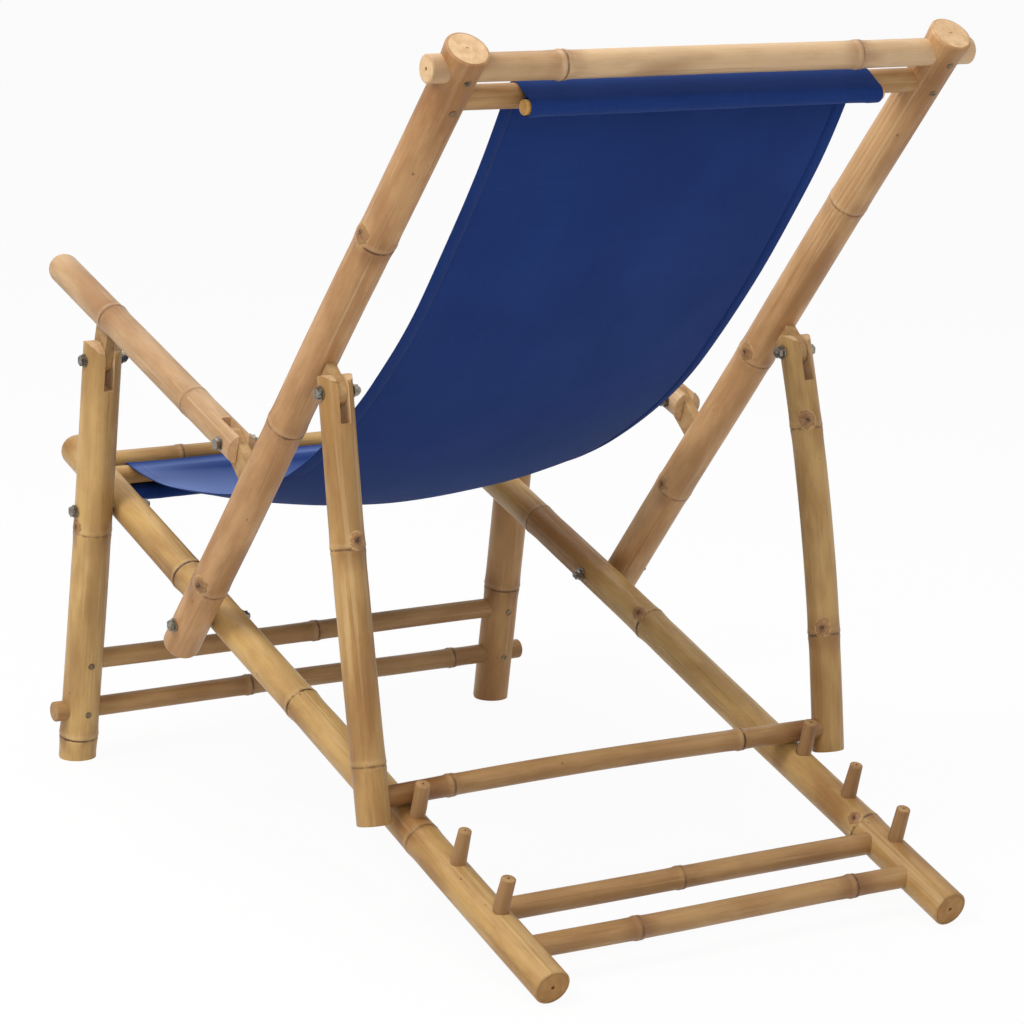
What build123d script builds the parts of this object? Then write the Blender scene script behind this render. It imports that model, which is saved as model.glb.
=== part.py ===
from build123d import *
import os
from math import asin, cos, degrees, radians, sin, sqrt, tan

# Bamboo deck chair with a canvas sling, in millimetres and degrees.
# The sitter faces -Y, +X is the sitter's left, +Z is up and the floor is at Z = 0.

# Pole and bar radii
RAIL_RADIUS = 18.0
LEG_RADIUS = 20.5
UPRIGHT_RADIUS = 19.5
ARM_RADIUS = 16.5
PROP_RADIUS = 16.5
HEAD_BAR_RADIUS = 13.0
SLING_BAR_RADIUS = 11.5
FRONT_BAR_RADIUS = 10.5
LEG_STRETCHER_RADIUS = 11.0
REAR_STRETCHER_RADIUS = 11.0
PROP_BAR_RADIUS = 10.5
PEG_RADIUS = 7.5
HEM_DOWEL_RADIUS = 7.0

# Pole ends and bamboo rings
CUT_ROUND = 1.2             # rounding of a sawn end
SOFT_ROUND = 5.0            # rounding of a worn end
DOME_SHARE = 0.9            # rounding of a domed end, as a share of the pole's radius
RING_SWELL = 1.2            # how far a ring stands proud of its pole
RING_HALF = 6.0             # half the length of a ring's swelling
PITH_RADIUS = 2.0
PEG_PITH_RADIUS = 1.5
PITH_DEPTH = 15.0

# Long rails, measured along the axis from the rear end
RAIL_OFFSET = 227.0         # from the chair's middle plane to a rail's axis
RAIL_SLOPE = 17.3
RAIL_LENGTH = 1048.0
BACK_PIVOT_AT = 661.0
LEG_PIVOT_BACK = 144.0      # from the rail's front end
FRONT_BAR_LOWER_BACK = 78.0
FRONT_BAR_UPPER_BACK = 45.0
REAR_STRETCHER_UPPER_AT = 120.0
REAR_STRETCHER_LOWER_AT = 60.6
PEG_REAR_AT = 98.0
PEG_PITCH = 80.5
PEG_SEAT = 20.0
PEG_HEIGHT = 35.0

# Legs, measured along the axis from the floor
LEG_GAP = 1.5               # between a rail and the leg beside it
LEG_SLOPE = 8.0
LEG_STRETCHER_UPPER_AT = 114.0
LEG_STRETCHER_LOWER_AT = 57.0
LEG_STUB = 11.5             # lower stretcher beyond the outer side of a leg
ARM_PIVOT_ABOVE = 169.2     # from the leg's rail pivot up to its armrest pivot
LEG_FORK_DEPTH = 30.0

# Back uprights, measured along the axis from the back pivot
BACK_SLOPE = 39.4
UPRIGHT_BELOW = 38.0
UPRIGHT_ABOVE = 815.0
HEAD_BAR_DOWN = 23.0        # from the upright's top end
HEAD_BAR_STUB = 13.5        # head bar beyond the outer side of an upright
SLING_BAR_DOWN = 60.0
ARM_PIVOT_AT = 216.4
ARM_PIVOT_REACH = 60.0      # in front of the upright's axis
PROP_PIVOT_AT = 411.0
PROP_PIVOT_REACH = 43.0     # behind the upright's axis

# Armrests
ARM_DROP = 53.0             # from the armrest's axis down to its front pivot
ARM_OVERHANG = 127.0        # in front of the front tongue
ARM_TAIL = 18.0             # behind the rear pivot
ARM_FORK_DEPTH = 22.0
ARM_LINK_PLAY = 3.2         # room round the bolt in the front tongue's hole

# Props and their bar
PROP_FOOT_REACH = 24.0      # from the prop bar's axis to the prop's foot
PROP_FORK_DEPTH = 30.0
PEG_PLAY = 2.0              # between the prop bar and the front pegs

# Flat tongues in the forked pole ends
TONGUE_THICKNESS = 10.0
TONGUE_WIDTH = 27.0
FORK_PLAY = 0.5             # each side of a tongue

# Sling, with a dowel in each end hem
SLING_WIDTH = 390.0
SLING_THICKNESS = 1.5
SLING_GAP = 0.3             # between the cloth and a bar or dowel
SEAT_ANGLE = 7.6            # where the cloth leaves the front bar, behind its top
BACK_ANGLE = 28.2           # where the cloth meets the sling bar, above its front
SEAT_LEAD = 310.0           # from the front bar to the corner of the seat's curve
SLING_BELLY = 28.3          # how far the cloth's middle hangs below its edges
BELLY_SHARE = 0.26          # where it hangs lowest, as a share of the way up from the front bar
BELLY_POWER = 2.6           # how quickly the belly fades towards the bars
BELLY_LEAD = 0.02           # share next to the front bar where the cloth is still flat
BELLY_STATIONS = 10         # cross-sections between there and the sling bar
HEM_SPACE = 1.0             # between a hem and the cloth round the bar beside it
FRONT_HEM_ANGLE = 8.0       # forward of straight under the front bar
TOP_HEM_ANGLE = 18.0        # above straight behind the sling bar
DOWEL_PROUD = 4.0           # dowel beyond the edge of the cloth

# Fasteners
BOLT_RADIUS = 3.0
BOLT_TAIL = 2.5             # bolt beyond its nut
HEX_FLATS = 10.0
HEAD_HEIGHT = 4.0
NUT_HEIGHT = 5.0
WASHER_RADIUS = 7.0
WASHER_THICKNESS = 1.4
PIVOT_PLAY = 0.08           # round a pivot bolt
SEAT_GAP = 0.3              # between faces that slide past each other
SCREW_RADIUS = 1.6
SCREW_LENGTH = 26.0
SCREW_HEAD_RADIUS = 3.6
SCREW_HEAD_HEIGHT = 1.8
SCREW_PROUD = 0.6
TENON_PAST = 6.0            # bar end beyond the axis of the pole that it is let into

# Bamboo rings, as shares of the pole's length from its lower or rear end
SIDES = {"left": 1, "right": -1}
RAIL_RINGS = {"left": (0.230, 0.466, 0.714), "right": (0.134, 0.520, 0.743)}
LEG_RINGS = {"left": (0.060, 0.555), "right": (0.297, 0.723)}
UPRIGHT_RINGS = {"left": (0.121, 0.413, 0.718), "right": (0.211, 0.464, 0.730)}
ARM_RINGS = {"left": (0.238, 0.680), "right": (0.181, 0.611)}
PROP_RINGS = {"left": (0.132, 0.614), "right": (0.280, 0.776)}

# Bamboo rings of the bars, as shares of their length from the sitter's right end
HEAD_BAR_RINGS = (0.224, 0.770)
FRONT_BAR_RINGS = (0.747,)
LEG_STRETCHER_UPPER_RINGS = (0.463,)
LEG_STRETCHER_LOWER_RINGS = (0.156, 0.599)
REAR_STRETCHER_UPPER_RINGS = (0.526,)
REAR_STRETCHER_LOWER_RINGS = (0.176, 0.712)
PROP_BAR_RINGS = (0.212, 0.832)

PEG_NAMES = ("rear", "middle", "front")
PARTS_FOLDER = "parts"


def heading(angle):
    """Unit vector in the side plane, at an angle up from straight forward."""
    return Vector(0, -cos(radians(angle)), sin(radians(angle)))


def at_x(x, point):
    """The side-plane point moved out to x."""
    return Vector(x, point.Y, point.Z)


# Places in the side plane
ALONG_X = Vector(1, 0, 0)
SIDE_OFFSET = RAIL_OFFSET + RAIL_RADIUS + LEG_GAP + LEG_RADIUS
RAIL_DOME = DOME_SHARE * RAIL_RADIUS
RAIL_DIR = heading(RAIL_SLOPE)
RAIL_UP = heading(RAIL_SLOPE + 90)
LEG_UP = heading(LEG_SLOPE + 90)
LEG_FRONT = heading(LEG_SLOPE)
BACK_UP = heading(BACK_SLOPE + 90)
BACK_FRONT = heading(BACK_SLOPE)


def rail_rear_end():
    """Rear end of the rail's axis, with the chair's depth centred and the rail's rim on the floor."""
    tilt_cos = cos(radians(RAIL_SLOPE))
    tilt_sin = sin(radians(RAIL_SLOPE))
    front_reach = (RAIL_LENGTH - RAIL_DOME) * tilt_cos + (RAIL_RADIUS - RAIL_DOME) * tilt_sin + RAIL_DOME
    rear_reach = (RAIL_RADIUS - CUT_ROUND) * tilt_sin + CUT_ROUND * (1 - tilt_cos)
    height = (RAIL_RADIUS - CUT_ROUND) * tilt_cos + CUT_ROUND * (1 - tilt_sin)
    return Vector(0, (front_reach - rear_reach) / 2, height)


RAIL_REAR = rail_rear_end()


def on_rail(along, above=0.0):
    """Point beside the rail's axis."""
    return RAIL_REAR + RAIL_DIR * along + RAIL_UP * above


LEG_PIVOT = on_rail(RAIL_LENGTH - LEG_PIVOT_BACK)
BACK_PIVOT = on_rail(BACK_PIVOT_AT)
LEG_FOOT = LEG_PIVOT - LEG_UP * (LEG_PIVOT.Z / LEG_UP.Z)
ARM_FRONT_PIVOT = LEG_PIVOT + LEG_UP * ARM_PIVOT_ABOVE


def on_leg(along, behind=0.0):
    """Point beside the leg's axis."""
    return LEG_FOOT + LEG_UP * along - LEG_FRONT * behind


def on_back(along, front=0.0):
    """Point beside the upright's axis."""
    return BACK_PIVOT + BACK_UP * along + BACK_FRONT * front


ARM_REAR_PIVOT = on_back(ARM_PIVOT_AT, ARM_PIVOT_REACH)
PROP_PIVOT = on_back(PROP_PIVOT_AT, -PROP_PIVOT_REACH)

ARM_LINK = ARM_FRONT_PIVOT - ARM_REAR_PIVOT
ARM_DIR = ARM_LINK.normalized().rotate(Axis.X, -degrees(asin(ARM_DROP / ARM_LINK.length)))
ARM_TONGUE_AT = sqrt(ARM_LINK.length**2 - ARM_DROP**2)

PROP_BAR_AT = PEG_REAR_AT + 2 * PEG_PITCH + PEG_RADIUS + PEG_PLAY + PROP_BAR_RADIUS
PROP_BAR_CENTRE = on_rail(PROP_BAR_AT, RAIL_RADIUS + SEAT_GAP + PROP_BAR_RADIUS)
PROP_DIR = (PROP_PIVOT - PROP_BAR_CENTRE).normalized()
PROP_FOOT = PROP_BAR_CENTRE - PROP_DIR * PROP_FOOT_REACH

FRONT_BAR_LOWER = on_rail(RAIL_LENGTH - FRONT_BAR_LOWER_BACK)
FRONT_BAR_UPPER = on_rail(RAIL_LENGTH - FRONT_BAR_UPPER_BACK)
SLING_BAR_AT = UPRIGHT_ABOVE - SLING_BAR_DOWN
HEAD_BAR_AT = UPRIGHT_ABOVE - HEAD_BAR_DOWN
SLING_BAR = on_back(SLING_BAR_AT)
HEAD_BAR = on_back(HEAD_BAR_AT)


def pole(start, end, radius, rings=(), start_round=CUT_ROUND, end_round=CUT_ROUND):
    """Round pole from start to end, with a low swelling at each ring's share of its length."""
    length = (end - start).length
    bulge = 1 - sin(radians(45))

    def spot(reach, along):
        return Vector(reach, 0, along)

    outline = [
        Line(spot(0, 0), spot(radius - start_round, 0)),
        ThreePointArc(
            spot(radius - start_round, 0),
            spot(radius - start_round * bulge, start_round * bulge),
            spot(radius, start_round),
        ),
    ]
    reached = start_round
    for share in rings:
        ring = share * length
        outline.append(Line(spot(radius, reached), spot(radius, ring - RING_HALF)))
        reached = ring + RING_HALF
        outline.append(
            ThreePointArc(
                spot(radius, ring - RING_HALF), spot(radius + RING_SWELL, ring), spot(radius, reached)
            )
        )
    outline += [
        Line(spot(radius, reached), spot(radius, length - end_round)),
        ThreePointArc(
            spot(radius, length - end_round),
            spot(radius - end_round * bulge, length - end_round * bulge),
            spot(radius - end_round, length),
        ),
        Line(spot(radius - end_round, length), spot(0, length)),
        Line(spot(0, length), spot(0, 0)),
    ]
    return Plane(start, z_dir=end - start) * revolve(make_face(outline), Axis.Z)


def rod(start, end, radius):
    """Plain cylinder from start to end."""
    length = (end - start).length
    upright = Cylinder(radius, length, align=(Align.CENTER, Align.CENTER, Align.MIN))
    return Plane(start, z_dir=end - start) * upright


def cross_rod(x_from, x_to, point, radius):
    """Plain cylinder along X through a side-plane point."""
    return rod(at_x(x_from, point), at_x(x_to, point), radius)


def cross_bar(half_length, point, radius, rings=()):
    """Bamboo bar across the chair through a side-plane point."""
    return pole(at_x(-half_length, point), at_x(half_length, point), radius, rings)


def pith_hole(end, inward, radius=PITH_RADIUS):
    """Small blind hole at the middle of a sawn pole end."""
    return rod(end, end + inward * PITH_DEPTH, radius)


def tongue(x, root, pivot, hole_radius):
    """Flat tongue from its root inside a pole to a round end about a pivot hole."""
    reach = (pivot - root).length
    shape = Rectangle(reach, TONGUE_WIDTH, align=(Align.MIN, Align.CENTER))
    shape += Pos(reach, 0) * Circle(TONGUE_WIDTH / 2)
    shape -= Pos(reach, 0) * Circle(hole_radius)
    frame = Plane(at_x(x, root), x_dir=pivot - root, z_dir=ALONG_X)
    return frame * extrude(shape, amount=TONGUE_THICKNESS / 2, both=True)


def fork_slot(x, pivot, outward, radius, depth):
    """Cutter for the slot of a forked end that opens outward and runs past the pivot by depth."""
    width = TONGUE_THICKNESS + 2 * FORK_PLAY
    frame = Plane(at_x(x, pivot) - outward * depth, x_dir=ALONG_X, z_dir=outward)
    return frame * Box(width, 4 * radius, depth + 4 * radius, align=(Align.CENTER, Align.CENTER, Align.MIN))


def fork_nose(x, pivot, outward, radius):
    """Cutter that rounds a forked end about its pivot."""
    frame = Plane(at_x(x, pivot), x_dir=ALONG_X, z_dir=outward)
    block = frame * Box(4 * radius, 4 * radius, 4 * radius, align=(Align.CENTER, Align.CENTER, Align.MIN))
    return block - cross_rod(x - 3 * radius, x + 3 * radius, pivot, radius)


def screw(head, inward):
    """Round-headed wood screw, with its head let into the surface at head."""
    top = head - inward * SCREW_PROUD
    shank_start = top + inward * SCREW_HEAD_HEIGHT
    shank = rod(shank_start, shank_start + inward * SCREW_LENGTH, SCREW_RADIUS)
    return rod(top, shank_start, SCREW_HEAD_RADIUS) + shank


def hexagon(x_from, x_to, point):
    """Hexagonal prism along X."""
    frame = Plane(at_x(x_from, point), z_dir=ALONG_X * (x_to - x_from))
    outline = RegularPolygon(HEX_FLATS / 2, 6, major_radius=False)
    return frame * extrude(outline, amount=abs(x_to - x_from))


def bolt_set(side, point, inner, outer, spacers=()):
    """Bolt, nut and washers through a pivot; inner and outer are the seats' distances from the middle."""
    head_seat = outer + WASHER_THICKNESS
    nut_seat = inner - WASHER_THICKNESS
    tail = nut_seat - NUT_HEIGHT - BOLT_TAIL
    shank = cross_rod(side * tail, side * head_seat, point, BOLT_RADIUS)
    bolt = hexagon(side * head_seat, side * (head_seat + HEAD_HEIGHT), point) + shank
    nut = hexagon(side * (nut_seat - NUT_HEIGHT), side * nut_seat, point) - shank
    seats = [(nut_seat, inner), (outer, head_seat), *spacers]
    washers = [cross_rod(side * low, side * high, point, WASHER_RADIUS) - shank for low, high in seats]
    return bolt, nut, washers


def unit_sum(first, second):
    """Direction halfway between two directions."""
    return (first.normalized() + second.normalized()).normalized()


def cloth_band(centre, first, last):
    """Band of cloth along an arc from first to last about a centre."""
    radius = (first - centre).length
    directions = ((first - centre).normalized(), unit_sum(first - centre, last - centre),
                  (last - centre).normalized())
    inner = [centre + way * (radius - SLING_THICKNESS / 2) for way in directions]
    outer = [centre + way * (radius + SLING_THICKNESS / 2) for way in directions]
    return make_face([
        ThreePointArc(*inner),
        Line(inner[2], outer[2]),
        ThreePointArc(*reversed(outer)),
        Line(outer[0], inner[0]),
    ])


def cloth_strip(first, last, normal):
    """Straight band of cloth from first to last."""
    half = normal * (SLING_THICKNESS / 2)
    return make_face(Polyline(first + half, last + half, last - half, first - half, close=True))


def arc_point(centre, first, last, share):
    """Point at a share of the way along the short arc from first to last."""
    start = first - centre
    turn = start.get_signed_angle(last - centre, ALONG_X)
    return centre + start.rotate(Axis.X, turn * share)


def belly(share):
    """How far the cloth's middle hangs below its edges, at a share of the way up from the front bar."""
    along = max(share - BELLY_LEAD, 0) / (1 - BELLY_LEAD)
    rise = (along / BELLY_SHARE) ** BELLY_SHARE
    fall = ((1 - along) / (1 - BELLY_SHARE)) ** (1 - BELLY_SHARE)
    return SLING_BELLY * (rise * fall) ** BELLY_POWER


def cloth_section(centre, normal, sag):
    """Cross-section of the hung cloth between its edges; normal points to the sitter."""
    edge = ALONG_X * (SLING_WIDTH / 2)
    half = normal * (SLING_THICKNESS / 2)
    low = centre - normal * sag
    left = centre + edge
    right = centre - edge
    if sag == 0:
        upper = Line(left + half, right + half)
        lower = Line(right - half, left - half)
    else:
        upper = ThreePointArc(left + half, low + half, right + half)
        lower = ThreePointArc(right - half, low - half, left - half)
    return make_face([upper, Line(right + half, right - half), lower, Line(left - half, left + half)])


def hem_ring(centre):
    """Section of the hem that wraps a dowel."""
    frame = Plane(centre, x_dir=(0, 1, 0), z_dir=ALONG_X)
    inside = HEM_DOWEL_RADIUS + SLING_GAP
    return frame * (Circle(inside + SLING_THICKNESS) - Circle(inside))


def outer_tangent(first, first_radius, second, second_radius, turn):
    """Normal of the line that touches two circles on one side; turn is the way from the centre line."""
    span = second - first
    angle = 90 - degrees(asin((first_radius - second_radius) / span.length))
    return span.normalized().rotate(Axis.X, turn * angle)


def half_thick(radius):
    """Radius of the cloth's middle line round a bar or dowel."""
    return radius + SLING_GAP + SLING_THICKNESS / 2


FRONT_WRAP = half_thick(FRONT_BAR_RADIUS)
TOP_WRAP = half_thick(SLING_BAR_RADIUS)
HEM_WRAP = half_thick(HEM_DOWEL_RADIUS)
HEM_REACH = HEM_WRAP + SLING_THICKNESS + HEM_SPACE
FRONT_HEM = FRONT_BAR_LOWER + heading(FRONT_HEM_ANGLE - 90) * (FRONT_WRAP + HEM_REACH)
TOP_HEM = SLING_BAR - heading(BACK_SLOPE - TOP_HEM_ANGLE) * (TOP_WRAP + HEM_REACH)


def sling():
    """Canvas sling: two tangent arcs from bar to bar with a belly between, a wrap and a hem at each end."""
    seat_normal = heading(90 + SEAT_ANGLE)
    back_normal = heading(BACK_ANGLE)
    seat_end = FRONT_BAR_LOWER + seat_normal * FRONT_WRAP
    back_end = SLING_BAR + back_normal * TOP_WRAP
    seat_way = heading(180 + SEAT_ANGLE)
    back_way = heading(90 + BACK_ANGLE)
    span = back_end - seat_end
    back_lead = (span.dot(span) - 2 * SEAT_LEAD * span.dot(seat_way)) / (
        2 * (span.dot(back_way) - SEAT_LEAD * (seat_way.dot(back_way) - 1))
    )
    share = SEAT_LEAD / (SEAT_LEAD + back_lead)
    meet = (seat_end + seat_way * SEAT_LEAD) * (1 - share) + (back_end - back_way * back_lead) * share
    to_seat = meet - seat_end
    to_back = meet - back_end
    seat_centre = seat_end + seat_normal * (to_seat.dot(to_seat) / (2 * to_seat.dot(seat_normal)))
    back_centre = back_end + back_normal * (to_back.dot(to_back) / (2 * to_back.dot(back_normal)))
    front_normal = outer_tangent(FRONT_BAR_LOWER, FRONT_WRAP, FRONT_HEM, HEM_WRAP, -1)
    front_leave = FRONT_BAR_LOWER + front_normal * FRONT_WRAP
    top_normal = outer_tangent(SLING_BAR, TOP_WRAP, TOP_HEM, HEM_WRAP, 1)
    top_leave = SLING_BAR + top_normal * TOP_WRAP
    seat_arc = (seat_centre - seat_end).length * radians((seat_end - seat_centre).get_angle(meet - seat_centre))
    back_arc = (back_centre - back_end).length * radians((back_end - back_centre).get_angle(meet - back_centre))
    seat_share = seat_arc / (seat_arc + back_arc)
    steps = [step / BELLY_STATIONS for step in range(BELLY_STATIONS + 1)]
    shares = [BELLY_LEAD + (1 - BELLY_LEAD) * step ** 1.4 for step in steps]
    sections = []
    for share in [0.0, *shares]:
        if share <= seat_share:
            centre = seat_centre
            point = arc_point(seat_centre, seat_end, meet, share / seat_share)
        else:
            centre = back_centre
            point = arc_point(back_centre, meet, back_end, (share - seat_share) / (1 - seat_share))
        sections.append(cloth_section(point, (centre - point).normalized(), belly(share)))
    cloth = loft(sections)
    front = cloth_band(FRONT_BAR_LOWER, seat_end, front_leave)
    front += cloth_strip(front_leave, FRONT_HEM + front_normal * HEM_WRAP, front_normal)
    front += hem_ring(FRONT_HEM)
    top = cloth_band(SLING_BAR, back_end, top_leave)
    top += cloth_strip(top_leave, TOP_HEM + top_normal * HEM_WRAP, top_normal)
    top += hem_ring(TOP_HEM)
    for end in (front, top):
        cloth += extrude(end, amount=SLING_WIDTH / 2, dir=(1, 0, 0), both=True)
    return cloth


NODES = {}


def keep(name, *solids):
    """Store a node, which holds one solid or a group of like solids."""
    if len(solids) == 1:
        NODES[name] = solids[0]
    else:
        NODES[name] = Compound(children=[Compound(solid.wrapped) for solid in solids])


RAIL_TENON = RAIL_OFFSET + TENON_PAST
SIDE_TENON = SIDE_OFFSET + TENON_PAST
LEG_OUTER = SIDE_OFFSET + LEG_RADIUS
LEG_END = LEG_OUTER + LEG_STUB
UPRIGHT_OUTER = SIDE_OFFSET + UPRIGHT_RADIUS
RAIL_INNER = RAIL_OFFSET - RAIL_RADIUS
RAIL_OUTER = RAIL_OFFSET + RAIL_RADIUS
PIVOT_RADIUS = BOLT_RADIUS + PIVOT_PLAY


def make_bars():
    """All bars that cross the chair, keyed by node name, with their side-plane points and radii."""
    low_leg = on_leg(LEG_STRETCHER_LOWER_AT)
    high_leg = on_leg(LEG_STRETCHER_UPPER_AT)
    high_rear = on_rail(REAR_STRETCHER_UPPER_AT)
    low_rear = on_rail(REAR_STRETCHER_LOWER_AT)
    return {
        "front_bar_upper": (RAIL_TENON, FRONT_BAR_UPPER, FRONT_BAR_RADIUS, FRONT_BAR_RINGS),
        "front_bar_lower": (RAIL_TENON, FRONT_BAR_LOWER, FRONT_BAR_RADIUS, ()),
        "rear_stretcher_upper": (RAIL_TENON, high_rear, REAR_STRETCHER_RADIUS, REAR_STRETCHER_UPPER_RINGS),
        "rear_stretcher_lower": (RAIL_TENON, low_rear, REAR_STRETCHER_RADIUS, REAR_STRETCHER_LOWER_RINGS),
        "leg_stretcher_upper": (SIDE_TENON, high_leg, LEG_STRETCHER_RADIUS, LEG_STRETCHER_UPPER_RINGS),
        "leg_stretcher_lower": (LEG_END, low_leg, LEG_STRETCHER_RADIUS, LEG_STRETCHER_LOWER_RINGS),
        "head_bar": (UPRIGHT_OUTER + HEAD_BAR_STUB, HEAD_BAR, HEAD_BAR_RADIUS, HEAD_BAR_RINGS),
        "sling_bar": (SIDE_TENON, SLING_BAR, SLING_BAR_RADIUS, ()),
        "prop_bar": (SIDE_TENON, PROP_BAR_CENTRE, PROP_BAR_RADIUS, PROP_BAR_RINGS),
    }


BARS = make_bars()


def bar_hole(name):
    """Cutter for the seats of a cross bar in the poles that carry it."""
    half_length, point, radius, _ = BARS[name]
    return cross_rod(-half_length, half_length, point, radius)


def screws(points, inward):
    """One screw on each side of the chair at each side-plane point."""
    return [screw(at_x(side * SIDE_OFFSET, point), inward) for side in SIDES.values() for point in points]


LEG_SCREWS = screws(
    [on_leg(LEG_STRETCHER_LOWER_AT, LEG_RADIUS), on_leg(LEG_STRETCHER_UPPER_AT, LEG_RADIUS)], LEG_FRONT
)
BACK_SCREWS = screws(
    [on_back(HEAD_BAR_AT, -UPRIGHT_RADIUS), on_back(SLING_BAR_AT, -UPRIGHT_RADIUS)], BACK_FRONT
)


def make_cross_bars():
    """Cross bars, the dowels in the hems and the screws that fix the bars."""
    screwed = {
        "leg_stretcher_upper": LEG_SCREWS,
        "leg_stretcher_lower": LEG_SCREWS,
        "head_bar": BACK_SCREWS,
        "sling_bar": BACK_SCREWS,
    }
    for name, (half_length, point, radius, rings) in BARS.items():
        bar = cross_bar(half_length, point, radius, rings)
        if name in screwed:
            bar -= screwed[name]
        if name == "head_bar":
            bar -= [pith_hole(at_x(side * half_length, point), ALONG_X * -side) for side in SIDES.values()]
        keep(name, bar)
    dowel_half = SLING_WIDTH / 2 + DOWEL_PROUD
    keep("front_hem_dowel", cross_bar(dowel_half, FRONT_HEM, HEM_DOWEL_RADIUS))
    keep("top_hem_dowel", cross_bar(dowel_half, TOP_HEM, HEM_DOWEL_RADIUS))
    keep("leg_screws", *LEG_SCREWS)
    keep("back_screws", *BACK_SCREWS)


def make_rail(name, side):
    """Long rail with its three pegs."""
    x = side * RAIL_OFFSET
    rail = pole(at_x(x, RAIL_REAR), at_x(x, on_rail(RAIL_LENGTH)), RAIL_RADIUS, RAIL_RINGS[name],
                end_round=RAIL_DOME)
    for bar in ("front_bar_upper", "front_bar_lower", "rear_stretcher_upper", "rear_stretcher_lower"):
        rail -= bar_hole(bar)
    for pivot in (LEG_PIVOT, BACK_PIVOT):
        rail -= cross_rod(side * RAIL_INNER, side * RAIL_OUTER, pivot, BOLT_RADIUS)
    rail -= pith_hole(at_x(x, RAIL_REAR), RAIL_DIR)
    for index, peg_name in enumerate(PEG_NAMES):
        along = PEG_REAR_AT + index * PEG_PITCH
        foot = at_x(x, on_rail(along, RAIL_RADIUS - PEG_SEAT))
        tip = at_x(x, on_rail(along, RAIL_RADIUS + PEG_HEIGHT))
        rail -= rod(foot, tip, PEG_RADIUS)
        peg = pole(foot, tip, PEG_RADIUS) - pith_hole(tip, RAIL_UP * -1, PEG_PITH_RADIUS)
        keep(f"peg_{name}_{peg_name}", peg)
    keep(f"rail_{name}", rail)


def make_leg(name, side):
    """Front leg, cut level at the floor and forked at the top."""
    x = side * SIDE_OFFSET
    below = LEG_RADIUS * tan(radians(LEG_SLOPE))
    foot = at_x(x, on_leg(-below))
    top = at_x(x, ARM_FRONT_PIVOT + LEG_UP * LEG_RADIUS)
    leg = pole(foot, top, LEG_RADIUS, LEG_RINGS[name], start_round=SOFT_ROUND)
    size = 4 * LEG_RADIUS
    leg -= Plane(at_x(x, LEG_FOOT)) * Box(size, size, size, align=(Align.CENTER, Align.CENTER, Align.MAX))
    leg -= fork_slot(x, ARM_FRONT_PIVOT, LEG_UP, LEG_RADIUS, LEG_FORK_DEPTH)
    leg -= fork_nose(x, ARM_FRONT_PIVOT, LEG_UP, LEG_RADIUS)
    leg -= cross_rod(x - LEG_RADIUS, x + LEG_RADIUS, LEG_PIVOT, PIVOT_RADIUS)
    leg -= cross_rod(x - LEG_RADIUS, x + LEG_RADIUS, ARM_FRONT_PIVOT, BOLT_RADIUS)
    leg -= [bar_hole("leg_stretcher_upper"), bar_hole("leg_stretcher_lower"), *LEG_SCREWS]
    keep(f"leg_{name}", leg)


def make_upright(name, side):
    """Back upright with the tongues that carry an armrest and a prop."""
    x = side * SIDE_OFFSET
    top = at_x(x, on_back(UPRIGHT_ABOVE))
    upright = pole(at_x(x, on_back(-UPRIGHT_BELOW)), top, UPRIGHT_RADIUS, UPRIGHT_RINGS[name],
                   start_round=SOFT_ROUND)
    arm_tongue = tongue(x, on_back(ARM_PIVOT_AT), ARM_REAR_PIVOT, PIVOT_RADIUS)
    prop_tongue = tongue(x, on_back(PROP_PIVOT_AT), PROP_PIVOT, PIVOT_RADIUS)
    upright -= [arm_tongue, prop_tongue, bar_hole("head_bar"), bar_hole("sling_bar"), *BACK_SCREWS]
    upright -= cross_rod(x - UPRIGHT_RADIUS, x + UPRIGHT_RADIUS, BACK_PIVOT, PIVOT_RADIUS)
    upright -= pith_hole(top, BACK_UP * -1)
    keep(f"upright_{name}", upright)
    keep(f"arm_rear_tongue_{name}", arm_tongue)
    keep(f"prop_tongue_{name}", prop_tongue)


def make_armrest(name, side):
    """Armrest, forked at the rear, with a tongue down to the leg and its rear bolt."""
    x = side * SIDE_OFFSET
    rear = at_x(x, ARM_REAR_PIVOT - ARM_DIR * ARM_TAIL)
    front = at_x(x, ARM_REAR_PIVOT + ARM_DIR * (ARM_TONGUE_AT + ARM_OVERHANG))
    armrest = pole(rear, front, ARM_RADIUS, ARM_RINGS[name], end_round=DOME_SHARE * ARM_RADIUS)
    root = ARM_REAR_PIVOT + ARM_DIR * ARM_TONGUE_AT
    front_tongue = tongue(x, root, ARM_FRONT_PIVOT, BOLT_RADIUS + ARM_LINK_PLAY)
    armrest -= front_tongue
    armrest -= fork_slot(x, ARM_REAR_PIVOT, ARM_DIR * -1, ARM_RADIUS, ARM_FORK_DEPTH)
    armrest -= cross_rod(x - ARM_RADIUS, x + ARM_RADIUS, ARM_REAR_PIVOT, BOLT_RADIUS)
    bolt, nut, washers = bolt_set(side, ARM_REAR_PIVOT, SIDE_OFFSET - ARM_RADIUS, SIDE_OFFSET + ARM_RADIUS)
    keep(f"armrest_{name}", armrest)
    keep(f"arm_front_tongue_{name}", front_tongue)
    keep(f"arm_rear_bolt_{name}", bolt)
    keep(f"arm_rear_nut_{name}", nut)
    keep(f"arm_rear_washers_{name}", *washers)


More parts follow.
